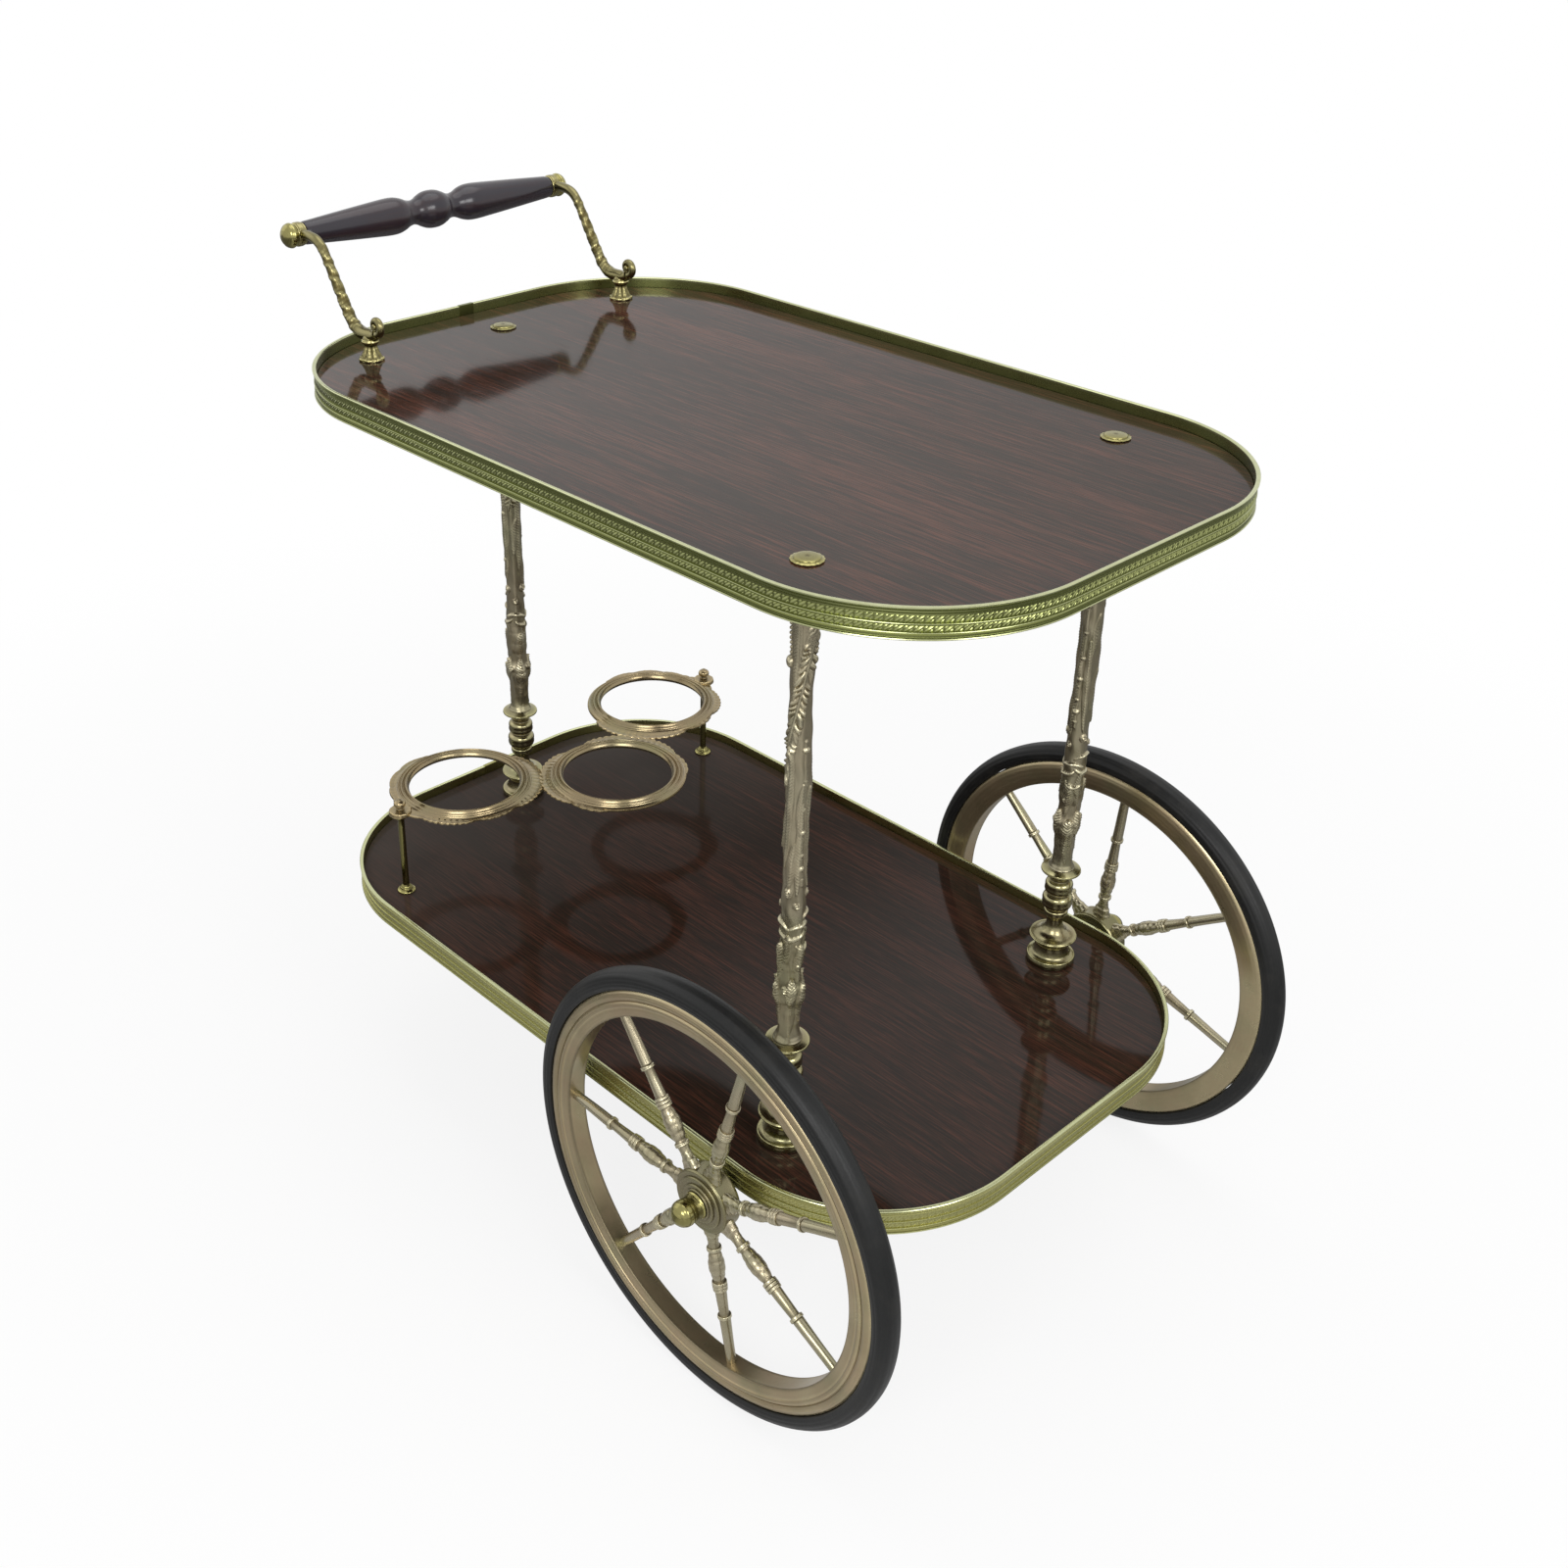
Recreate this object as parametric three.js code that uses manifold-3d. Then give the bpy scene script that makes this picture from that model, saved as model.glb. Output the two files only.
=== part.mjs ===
import * as THREE from 'three';
import { mergeVertices } from 'three/addons/utils/BufferGeometryUtils.js';
import Module from 'manifold-3d';

const wasm = await Module();
wasm.setup();

// A two-tier bar cart in brass and dark rosewood. Two large spoked wheels turn on a through axle at the
// front, one small castor swivels under the handle end. Millimetres, +Z up, floor at z = 0, +X towards
// the wheels, the handle at -X, and the middle of the whole cart over the origin.

// Fits
const clearance = 0.3;
const cutOverrun = 2;

// Wheels
const wheelRadius = 170;
const wheelGap = 4.35;
const tyreDepth = 13.7;
const tyreWidth = 20.6;
const rimDepth = 19.5;
const rimWidth = 19;
const wheelSides = 32;
const spokeCount = 7;
const spokeBulgeRadius = 6.75;
const spokeSides = 6;
const rightWheelTurn = THREE.MathUtils.degToRad(178.9);
const leftWheelTurn = THREE.MathUtils.degToRad(42.4);

// Hubs and axle
const hubRadius = 24;
const hubBack = 15;
const hubFront = 9.65;
const hubSides = 12;
const journalRadius = 4.8;
const axleCollarRadius = 10;
const axleCollarWidth = 2.5;
const axleThreadRadius = 3;
const axleThreadLength = 13;
const axleBarWidth = 20;
const axleBarHeight = 10.4;
const axleBarOverhang = 12;
const hubNutRadius = 9.1;
const hubNutLength = 21.7;

// Trays
const trayLength = 670;
const trayWidth = 407;
const trayCornerRadius = 127;
const trayCornerSteps = 6;
const axleSetback = 138;
const boardThickness = 9;
const traySpacing = 438.5;
const galleryHeight = 20.6;
const galleryRise = 8.4;
const galleryDepth = 2.8;

// Posts and the tie rods inside them
const rearPostInset = 51.6;
const frontPostAheadOfAxle = 3.5;
const frontPostInset = 51.1;
const tieRodRadius = 3;
const tieRodNutHeight = 4.6;
const tieRodNutRadius = 6;
const tieRodTail = 1.2;
const columnRadius = 10.5;
const columnSides = 8;
const footHeight = 88;
const footRadius = 18.7;
const footSides = 10;
const capRadius = 10.5;
const capHeight = 2.6;
const capSleeveRadius = 5;
const capSleeveLength = 6.5;
const capSides = 10;

// Castor under the rear post
const castorRadius = 45;
const castorTyreDepth = 8;
const castorWidth = 18;
const castorTrail = 18;
const castorSides = 12;
const castorSmallSides = 10;
const castorCrownGap = 8;
const castorCrownRadius = 15;
const castorCrownHeight = 6;
const castorStemRadius = 5;
const castorStemLength = 45;
const castorSocketRadius = 23;
const castorLegThickness = 3.5;
const castorLegGap = 2;
const castorLegEndRadius = 8;
const castorPinRadius = 3;
const castorPinHeadRadius = 5.5;
const castorPinHeadLength = 2.4;

// Handle
const gripOverhang = 39.4;
const gripAboveBoard = 79.2;
const gripHalfLength = 122.2;
const gripRadius = 15.1;
const gripSides = 10;
const handleRodRadius = 3;
const armEyeWidth = 7.7;
const armEyeRadius = 9.3;
const armRodRadius = 5.3;
const armRodSides = 8;
const armRodSteps = 12;
const armCurlRadius = 5.8;
const pedestalInset = 51;
const pedestalHeight = 19;
const pedestalRadius = 10;
const armStudRadius = 2.5;
const armNutRadius = 5.2;
const armNutHeight = 4;
const handleCapBallRadius = 9.8;
const handleCapBoreDepth = 7;
const handleSmallSides = 10;

// Bottle holder: three rings in a triangle ahead of the rear post
const ringBoreRadius = 46.5;
const ringRadius = 59.5;
const ringHeight = 6.5;
const ringSides = 20;
const ringsAboveBoard = 76;
const sideRingInset = 110.5;
const middleRingInset = 185.5;
const stemInset = 31.3;
const bridgeWidth = 34;
const bridgeHeight = 4.2;
const lugRadius = 9;
const lobeRadius = 8;
const lobeHeight = 3.6;
const stemRadius = 2.8;
const stemBaseRadius = 7.5;
const stemBaseHeight = 6;
const stemCollarRadius = 5;
const stemStudRadius = 2;
const finialRadius = 4.9;
const finialHeight = 9.4;
const stemSides = 8;

// Levels and places that follow from the sizes above. Setbacks, insets and the overhang are measured
// from the trays' ends and sides, the wheels' gap from the gallery to the hub.
const reachBehind = gripOverhang + gripRadius;
const reachAhead = trayLength - axleSetback + wheelRadius;
const trayRear = (reachBehind - reachAhead) / 2;
const trayX = trayRear + trayLength / 2;
const traySide = trayWidth / 2;
const axleX = trayRear + trayLength - axleSetback;
const rearPostX = trayRear + rearPostInset;
const frontPostX = axleX + frontPostAheadOfAxle;
const frontPostY = traySide - frontPostInset;
const gripX = trayRear - gripOverhang;
const pedestalX = trayRear + pedestalInset;
const sideRingX = trayRear + sideRingInset;
const middleRingX = trayRear + middleRingInset;
const wheelY = traySide + wheelGap + hubBack;
const lowerBoardTop = wheelRadius + axleBarHeight / 2 + clearance + boardThickness;
const lowerBoardBottom = lowerBoardTop - boardThickness;
const upperBoardTop = lowerBoardTop + traySpacing;
const upperBoardBottom = upperBoardTop - boardThickness;
const gripZ = upperBoardTop + gripAboveBoard;
const armY = gripHalfLength + clearance + armEyeWidth / 2;
const capSeatY = armY + armEyeWidth / 2 + clearance;
const ringBottom = lowerBoardTop + ringsAboveBoard;
const stemY = traySide - stemInset;
const sideRingY = stemY - ringRadius - lugRadius + stemRadius;
const footTop = lowerBoardTop + clearance + footHeight;
const columnBottom = footTop + clearance;
const columnHeight = upperBoardBottom - clearance - columnBottom;
const tieRodBoreRadius = tieRodRadius + clearance;
const rimRadius = wheelRadius - tyreDepth - clearance;
const rimBoreRadius = rimRadius - rimDepth;
const castorCrownTop = 2 * castorRadius + castorCrownGap + castorCrownHeight;
const posts = [
  { side: 'rear', x: rearPostX, y: 0 },
  { side: 'right', x: frontPostX, y: -frontPostY },
  { side: 'left', x: frontPostX, y: frontPostY },
];
const sides = [
  { side: 'right', sign: -1, turn: 0 },
  { side: 'left', sign: 1, turn: Math.PI },
];

// Materials
const brass = new THREE.MeshStandardMaterial({ color: 0xa89a74, roughness: 0.35, metalness: 1 });
const galleryBrass = new THREE.MeshStandardMaterial({ color: 0xa5a050, roughness: 0.3, metalness: 1 });
const polishedBrass = new THREE.MeshStandardMaterial({ color: 0xb39a3c, roughness: 0.18, metalness: 1 });
const steel = new THREE.MeshStandardMaterial({ color: 0x8c8c88, roughness: 0.4, metalness: 1 });
const rosewood = new THREE.MeshStandardMaterial({ color: 0x3a1d18, roughness: 0.2, metalness: 0 });
const gripWood = new THREE.MeshStandardMaterial({ color: 0x22100f, roughness: 0.15, metalness: 0 });
const rubber = new THREE.MeshStandardMaterial({ color: 0x1c1d1f, roughness: 0.7, metalness: 0 });

// Solids

// Merges shared corners, drops triangles of no area and points every face outwards.
function closedSolid(source) {
  const bare = source.clone();
  bare.deleteAttribute('normal');
  bare.deleteAttribute('uv');
  const merged = mergeVertices(bare);
  const corners = merged.index.array;
  const place = merged.attributes.position;
  const at = (i) => new THREE.Vector3().fromBufferAttribute(place, i);
  const faces = [];
  let volume = 0;
  for (let i = 0; i < corners.length; i += 3) {
    const [a, b, c] = corners.slice(i, i + 3);
    if (a === b || b === c || c === a) continue;
    faces.push([a, b, c]);
    volume += at(a).dot(at(b).cross(at(c)));
  }
  const outward = volume > 0 ? faces : faces.map(([a, b, c]) => [a, c, b]);
  merged.setIndex(outward.flat());
  return merged;
}

function toManifold(geometry) {
  const solid = closedSolid(geometry);
  return new wasm.Manifold(new wasm.Mesh({
    numProp: 3,
    vertProperties: new Float32Array(solid.attributes.position.array),
    triVerts: new Uint32Array(solid.index.array),
  }));
}

function fromManifold(solid) {
  const { vertProperties, triVerts } = solid.getMesh();
  const geometry = new THREE.BufferGeometry();
  geometry.setAttribute('position', new THREE.BufferAttribute(vertProperties, 3));
  geometry.setIndex(new THREE.BufferAttribute(triVerts, 1));
  return geometry;
}

const joined = (first, ...others) =>
  fromManifold(others.reduce((whole, other) => whole.add(toManifold(other)), toManifold(first)));

const cut = (body, ...tools) =>
  fromManifold(tools.reduce((rest, tool) => rest.subtract(toManifold(tool)), toManifold(body)));

// A section turned about Y. The loop lists [radius, height] round the section and closes on itself;
// a stretch of it may run along the axis.
function turned(loop, sideCount) {
  const points = [...loop, loop[0]].map(([radius, height]) => new THREE.Vector2(radius, height));
  return closedSolid(new THREE.LatheGeometry(points, sideCount));
}

// The same about Z.
const turnedUp = (loop, sideCount) => turned(loop, sideCount).rotateX(Math.PI / 2);

// Shares of a radius and of a length make a turned outline.
const scaled = (shares, radius, length, start = 0) =>
  shares.map(([radiusShare, lengthShare]) => [radiusShare * radius, start + lengthShare * length]);

// A closed outline made solid, upright from z = bottom.
function raised(outline, height, bottom, holes = []) {
  const shape = new THREE.Shape(outline);
  for (const hole of holes) {
    shape.holes.push(new THREE.Path().absarc(hole.x, hole.y, hole.radius, 0, 2 * Math.PI, true));
  }
  const body = new THREE.ExtrudeGeometry(shape, { depth: height, bevelEnabled: false, curveSegments: 6 });
  return closedSolid(body.translate(0, 0, bottom));
}

function rod(radius, bottom, top, sideCount = 10) {
  return turnedUp([[0, bottom], [radius, bottom], [radius, top], [0, top]], sideCount);
}

function hexNut(radius, bore, bottom, height) {
  const corners = Array.from({ length: 6 }, (_, corner) => {
    const angle = corner * Math.PI / 3;
    return new THREE.Vector2(radius * Math.cos(angle), radius * Math.sin(angle));
  });
  return raised(corners, height, bottom, [{ x: 0, y: 0, radius: bore }]);
}

function named(name, geometry, material, x = 0, y = 0, z = 0) {
  const mesh = new THREE.Mesh(geometry, material);
  mesh.name = name;
  mesh.position.set(x, y, z);
  return mesh;
}

// Trays

// Stations round the tray's outline, each with its outward direction.
function trayStations() {
  const cornerX = trayLength / 2 - trayCornerRadius;
  const cornerY = trayWidth / 2 - trayCornerRadius;
  const corners = [[1, 1], [-1, 1], [-1, -1], [1, -1]];
  return corners.flatMap(([signX, signY], corner) =>
    Array.from({ length: trayCornerSteps + 1 }, (_, step) => {
      const angle = (corner + step / trayCornerSteps) * Math.PI / 2;
      const outward = new THREE.Vector2(Math.cos(angle), Math.sin(angle));
      const centre = new THREE.Vector2(signX * cornerX, signY * cornerY);
      return { at: centre.addScaledVector(outward, trayCornerRadius), outward };
    }));
}

const boardOutline = trayStations().map(({ at, outward }) =>
  at.clone().addScaledVector(outward, -galleryDepth - clearance));

// The board's middle, where nothing stands, is joined in as a length of its own, so that its top is one
// clear face from clearFrom to clearTo.
function trayBoard(name, top, holes, clearFrom, clearTo) {
  const bottom = top - boardThickness;
  const inTray = holes.map(({ x, y, radius }) => ({ x: x - trayX, y, radius }));
  const whole = raised(boardOutline, boardThickness, bottom, inTray);
  const length = (width, depth) => new THREE.BoxGeometry(clearTo - clearFrom, width, depth)
    .translate((clearFrom + clearTo) / 2 - trayX, 0, bottom + boardThickness / 2);
  const ends = cut(whole, length(trayWidth, 2 * boardThickness));
  const middle = length(trayWidth - 2 * (galleryDepth + clearance), boardThickness);
  return named(name, joined(ends, middle), rosewood, trayX);
}

// The gallery strip in section: share of its depth out from its inner face, and of its height.
const gallerySectionShares = [
  [0, 0], [0.75, 0], [1, 0.06], [0.6, 0.13], [0.6, 0.42], [0.88, 0.47], [0.6, 0.52],
  [0.6, 0.8], [1.05, 0.94], [1.05, 1], [0, 1],
];

function galleryStrip(top) {
  const stations = trayStations();
  const section = gallerySectionShares.map(([outShare, upShare]) =>
    [(outShare - 1) * galleryDepth, top - galleryHeight + upShare * galleryHeight]);
  const places = stations.flatMap(({ at, outward }) => section.flatMap(([out, up]) =>
    [at.x + outward.x * out, at.y + outward.y * out, up]));
  const faces = [];
  stations.forEach((_, station) => section.forEach((__, point) => {
    const nextStation = (station + 1) % stations.length;
    const nextPoint = (point + 1) % section.length;
    const a = station * section.length + point;
    const b = nextStation * section.length + point;
    const c = nextStation * section.length + nextPoint;
    const d = station * section.length + nextPoint;
    faces.push(a, b, c, a, c, d);
  }));
  const strip = new THREE.BufferGeometry();
  strip.setAttribute('position', new THREE.Float32BufferAttribute(places, 3));
  strip.setIndex(faces);
  return closedSolid(strip);
}

// The lower strip is notched over the axle where it passes under the board.
function notchedGallery(top) {
  const reach = traySide + cutOverrun;
  const notchRadius = journalRadius + clearance;
  const notch = turned([[0, -reach], [notchRadius, -reach], [notchRadius, reach], [0, reach]], 12);
  notch.translate(axleX - trayX, 0, wheelRadius);
  return cut(galleryStrip(top), notch);
}

// Posts

// Foot outline from the board up: base, cup flange, neck, three beads and the collar.
const footShares = [
  [0.96, 0], [1, 0.03], [1, 0.065], [0.69, 0.17], [0.74, 0.215], [0.98, 0.26], [0.98, 0.285],
  [0.36, 0.32], [0.34, 0.45], [0.46, 0.52], [0.4, 0.555], [0.64, 0.64], [0.46, 0.73],
  [0.59, 0.79], [0.42, 0.87], [0.84, 0.955], [0.84, 0.975], [0.45, 1],
];

// Column outline: leafy bulge near the foot, two bands, then a cast shaft that swells twice.
const columnShares = [
  [0.77, 0], [0.72, 0.07], [1, 0.11], [1, 0.135], [0.81, 0.19], [0.76, 0.235], [0.89, 0.26],
  [0.8, 0.28], [0.87, 0.305], [0.75, 0.345], [0.77, 0.52], [0.95, 0.6], [0.91, 0.655],
  [0.69, 0.745], [0.86, 0.795], [0.8, 0.83], [0.8, 1],
];

function bored(shares, radius, height, bottom, sideCount) {
  const outer = scaled(shares, radius, height, bottom);
  const bore = [[tieRodBoreRadius, bottom + height], [tieRodBoreRadius, bottom]];
  return turnedUp([...outer, ...bore], sideCount);
}

const capShares = [[1, 0], [1, 0.35], [0.77, 0.55], [0.7, 0.9], [0, 1]];

// The domed cap nut on the upper board, with its threaded sleeve down in the board's hole.
function postCap() {
  const bottom = upperBoardTop + clearance;
  const sleeveBottom = bottom - capSleeveLength;
  const boreTop = bottom + capHeight / 2;
  const dome = scaled(capShares, capRadius, capHeight, bottom);
  return turnedUp([
    [tieRodBoreRadius, sleeveBottom], [capSleeveRadius, sleeveBottom], [capSleeveRadius, bottom],
    ...dome, [0, boreTop], [tieRodBoreRadius, boreTop],
  ], capSides);
}

const tieRodTop = upperBoardTop + capHeight / 2;
const axleBarBottom = wheelRadius - axleBarHeight / 2;
const tieRodNutBottom = axleBarBottom - clearance - tieRodNutHeight;
const socketBoreStep = castorCrownTop + castorStemLength + clearance;
const tieRodBottoms = {
  rear: socketBoreStep + clearance,
  right: tieRodNutBottom - tieRodTail,
  left: tieRodNutBottom - tieRodTail,
};

function post({ side, x, y }) {
  const foot = bored(footShares, footRadius, footHeight, lowerBoardTop + clearance, footSides);
  const column = bored(columnShares, columnRadius, columnHeight, columnBottom, columnSides);
  const tieRod = rod(tieRodRadius, tieRodBottoms[side], tieRodTop);
  return [
    named(`post_foot_${side}`, foot, brass, x, y),
    named(`post_column_${side}`, column, brass, x, y),
    named(`post_cap_${side}`, postCap(), polishedBrass, x, y),
    named(`tie_rod_${side}`, tieRod, steel, x, y),
  ];
}

// Axle and wheels

// A flat bar under the lower board, bored for the front tie rods, with a turned journal at each end.
function axle() {
  const hubInner = wheelY - hubBack;
  const collarOut = hubInner - clearance;
  const collarIn = collarOut - axleCollarWidth;
  const shoulder = wheelY + hubFront + clearance;
  const tip = shoulder + axleThreadLength;
  const half = [
    [journalRadius, collarIn], [axleCollarRadius, collarIn], [axleCollarRadius, collarOut],
    [journalRadius, collarOut], [journalRadius, shoulder], [axleThreadRadius, shoulder],
    [axleThreadRadius, tip], [0, tip],
  ];
  const otherHalf = half.map(([radius, y]) => [radius, -y]).reverse();
  const shaft = turned([...otherHalf, ...half], hubSides);
  const barLength = 2 * (frontPostY + axleBarOverhang);
  const bar = new THREE.BoxGeometry(axleBarWidth, barLength, axleBarHeight);
  const holes = [-frontPostY, frontPostY].map((y) =>
    rod(tieRodBoreRadius, -axleBarHeight, axleBarHeight).translate(frontPostAheadOfAxle, y, 0));
  return cut(joined(shaft, bar), ...holes);
}

// Outline of a hub from its inner face at height 0 to its outer face at 1.
const hubShares = [
  [0.6, 0], [0.6, 0.12], [1, 0.22], [1, 0.82], [0.9, 0.84], [0.9, 0.89],
  [0.67, 0.905], [0.67, 0.945], [0.46, 0.96], [0.46, 1],
];

function hub() {
  const length = hubBack + hubFront;
  const outer = scaled(hubShares, hubRadius, length, -hubBack).map(([radius, y]) => [radius, -y]);
  const bore = journalRadius + clearance;
  return turned([...outer, [bore, -hubFront], [bore, hubBack]], hubSides);
}

// The rim in section: share of its depth out from the bore, and of its half width.
const rimSectionShares = [
  [0, -0.88], [0.22, -1], [0.44, -1], [0.62, -0.82], [0.8, -1], [1, -0.86],
  [1, 0.9], [0.15, 1], [0, 0.88],
];

function rim() {
  const section = scaled(rimSectionShares, rimDepth, rimWidth / 2);
  return turned(section.map(([out, y]) => [rimBoreRadius + out, y]), wheelSides);
}

// The tyre in section, round outside and flat where it sits on the rim.
const tyreSectionShares = [
  [0, -0.85], [0.36, -1], [0.86, -0.66], [1, 0], [0.86, 0.66], [0.36, 1], [0, 0.85],
];

function tyre(radius, depth, width, sideCount) {
  const section = scaled(tyreSectionShares, depth, width / 2);
  return turned(section.map(([out, y]) => [radius - depth + out, y]), sideCount);
}

// A turned spoke: share of its bulge radius, and of its length from the hub to the rim.
const spokeShares = [
  [1.18, 0], [0.64, 0.11], [0.82, 0.145], [0.63, 0.165], [1, 0.274], [0.66, 0.37],
  [0.9, 0.42], [0.66, 0.47], [0.555, 0.63], [0.78, 0.655], [0.63, 0.68], [0.52, 1],
];

const spokeFoot = hubRadius + clearance;
const spokeTip = rimBoreRadius * Math.cos(Math.PI / wheelSides) - clearance;

function spoke() {
  const body = scaled(spokeShares, spokeBulgeRadius, spokeTip - spokeFoot, spokeFoot);
  return turned([[0, spokeFoot], ...body, [0, spokeTip]], spokeSides);
}

function wheel({ side, sign, turn }, firstSpoke) {
  const group = new THREE.Group();
  group.position.set(axleX, sign * wheelY, wheelRadius);
  group.rotation.z = turn;
  group.add(
    named(`wheel_hub_${side}`, hub(), brass),
    named(`wheel_rim_${side}`, rim(), brass),
    named(`wheel_tyre_${side}`, tyre(wheelRadius, tyreDepth, tyreWidth, wheelSides), rubber),
  );
  for (let count = 0; count < spokeCount; count += 1) {
    const mesh = named(`spoke_${side}_${count + 1}`, spoke(), brass);
    mesh.rotation.set(0, -firstSpoke - count * 2 * Math.PI / spokeCount, -Math.PI / 2);
    group.add(mesh);
  }
  return group;
}

// The ball nut that keeps a wheel on its journal, outwards along -Y from its seat.
const hubNutShares = [
  [0.66, 0], [0.66, 0.25], [0.9, 0.4], [1, 0.585], [0.9, 0.77], [0.64, 0.9], [0.3, 0.98],
];

function hubNut() {
  const bore = axleThreadRadius + clearance;
  const boreEnd = axleThreadLength + clearance;
  const outer = scaled(hubNutShares, hubNutRadius, hubNutLength);
  const loop = [[bore, 0], ...outer, [0, hubNutLength], [0, boreEnd], [bore, boreEnd]];
  return turned(loop.map(([radius, y]) => [radius, -y]), footSides);
}

// Castor

const socketShares = [
  [0.5, 0], [0.62, 0.03], [0.62, 0.08], [0.42, 0.14], [0.66, 0.42], [0.66, 0.5], [0.46, 0.7],
  [0.52, 0.8], [1, 0.95], [1, 1],
];

function castorSocket() {
  const bottom = castorCrownTop + clearance;
  const top = lowerBoardBottom - clearance;
  const outer = scaled(socketShares, castorSocketRadius, top - bottom, bottom);
  const stemBore = castorStemRadius + clearance;
  return turnedUp([
    ...outer, [tieRodBoreRadius, top], [tieRodBoreRadius, socketBoreStep],
    [stemBore, socketBoreStep], [stemBore, bottom],
  ], castorSmallSides);
}

function castorFork() {
  const crownBottom = castorCrownTop - castorCrownHeight;
  const stemTop = castorCrownTop + castorStemLength;
  const crown = turnedUp([
    [0, crownBottom], [castorCrownRadius, crownBottom], [castorCrownRadius, castorCrownTop],
    [castorStemRadius, castorCrownTop], [castorStemRadius, stemTop], [0, stemTop],
  ], castorSmallSides);
  const legInner = castorWidth / 2 + castorLegGap;
  const legTopHalf = Math.sqrt(castorCrownRadius ** 2 - (legInner + castorLegThickness / 2) ** 2);
  const legTop = crownBottom + castorCrownHeight / 2;
  const outline = new THREE.Shape();
  outline.moveTo(legTopHalf, legTop);
  outline.lineTo(-legTopHalf, legTop);
  outline.lineTo(-castorTrail - castorLegEndRadius, castorRadius);
  outline.absarc(-castorTrail, castorRadius, castorLegEndRadius, Math.PI, 2 * Math.PI, false);
  const pinHole = new THREE.Path();
  pinHole.absarc(-castorTrail, castorRadius, castorPinRadius + clearance, 0, 2 * Math.PI, true);
  outline.holes.push(pinHole);
  const leg = (start) => new THREE.ExtrudeGeometry(
    outline,
    { depth: castorLegThickness, bevelEnabled: false, curveSegments: 5 },
  ).rotateX(Math.PI / 2).translate(0, start, 0);
  return joined(crown, leg(legInner + castorLegThickness), leg(-legInner));
}

const castorWheelShares = [
  [0.3, -1], [0.3, -0.35], [0.8, -0.3], [0.86, -0.86], [1, -0.86],
  [1, 0.86], [0.86, 0.86], [0.8, 0.3], [0.3, 0.35], [0.3, 1],
];

function castorWheel() {
  const rimOuter = castorRadius - castorTyreDepth - clearance;
  const outer = scaled(castorWheelShares, rimOuter, castorWidth / 2);
  const bore = castorPinRadius + clearance;
  return turned([...outer, [bore, castorWidth / 2], [bore, -castorWidth / 2]], castorSides);
}

function castorPin() {
  const shank = castorWidth / 2 + castorLegGap + castorLegThickness + clearance;
  const end = shank + castorPinHeadLength;
  const half = [
    [castorPinRadius, shank], [castorPinHeadRadius, shank], [castorPinHeadRadius, end], [0, end],
  ];
  return turned([...half.map(([radius, y]) => [radius, -y]).reverse(), ...half], castorSmallSides);
}

function castor() {
  const group = new THREE.Group();
  group.position.set(rearPostX, 0, 0);
  const rolling = new THREE.Group();
  rolling.position.set(-castorTrail, 0, castorRadius);
  rolling.add(
    named('castor_wheel', castorWheel(), brass),
    named('castor_tyre', tyre(castorRadius, castorTyreDepth, castorWidth, castorSides), rubber),
    named('castor_pin', castorPin(), steel),
  );
  group.add(
    named('castor_socket', castorSocket(), brass),
    named('castor_fork', castorFork(), brass),
    rolling,
  );
  return group;
}

// Handle

// The turned grip: share of its ball radius, and of its half length from the middle outwards.
const gripShares = [
  [1, 0], [0.94, 0.08], [0.76, 0.14], [0.61, 0.19], [0.72, 0.25], [0.89, 0.31], [0.93, 0.36],
  [0.86, 0.52], [0.72, 0.76], [0.58, 1],
];

function grip() {
  const half = scaled(gripShares, gripRadius, gripHalfLength);
  const otherHalf = half.slice(1).map(([radius, y]) => [radius, -y]).reverse();
  const bore = handleRodRadius + clearance;
  return turned([...otherHalf, ...half, [bore, gripHalfLength], [bore, -gripHalfLength]], gripSides);
}

function handleRod() {
  const end = capSeatY + handleCapBoreDepth - clearance;
  return turned([[0, -end], [handleRodRadius, -end], [handleRodRadius, end], [0, end]], 10);
}

const pedestalShares = [[1, 0], [1, 0.12], [0.7, 0.26], [0.45, 0.5], [0.62, 0.85], [0.5, 1]];

// The arm's line from the grip down to the pedestal and on to the curl: share of the run back to the
// grip, of the rise from the pedestal's top to the grip, and of the rod's radius.
const armLineShares = [
  [0.93, 1.02, 0.7], [0.84, 1.03, 0.74], [0.71, 1.005, 0.78], [0.625, 0.92, 0.8], [0.545, 0.755, 0.84],
  [0.405, 0.43, 0.86], [0.33, 0.255, 0.9], [0.24, 0.08, 1], [0.13, 0, 1], [0, 0, 0.95],
  [-0.09, 0.02, 0.9], [-0.15, 0.09, 0.8],
];

// A round rod along a line in the XZ plane. Each point's y holds the rod's radius there.
function taperedRod(line, sideCount) {
  const places = [];
  const faces = [];
  line.forEach((point, station) => {
    const before = line[Math.max(station - 1, 0)];
    const after = line[Math.min(station + 1, line.length - 1)];
    const along = new THREE.Vector2(after.x - before.x, after.z - before.z).normalize();
    for (let side = 0; side < sideCount; side += 1) {
      const angle = side * 2 * Math.PI / sideCount;
      const across = point.y * Math.cos(angle);
      places.push(point.x - along.y * across, point.y * Math.sin(angle), point.z + along.x * across);
      const next = (side + 1) % sideCount;
      const a = station * sideCount + side;
      const b = station * sideCount + next;
      if (station > 0) faces.push(a - sideCount, a, b, a - sideCount, b, b - sideCount);
    }
  });
  const last = (line.length - 1) * sideCount;
  for (let side = 1; side < sideCount - 1; side += 1) {
    faces.push(0, side, side + 1, last, last + side + 1, last + side);
  }
  const body = new THREE.BufferGeometry();
  body.setAttribute('position', new THREE.Float32BufferAttribute(places, 3));
  body.setIndex(faces);
  return closedSolid(body);
}

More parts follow.
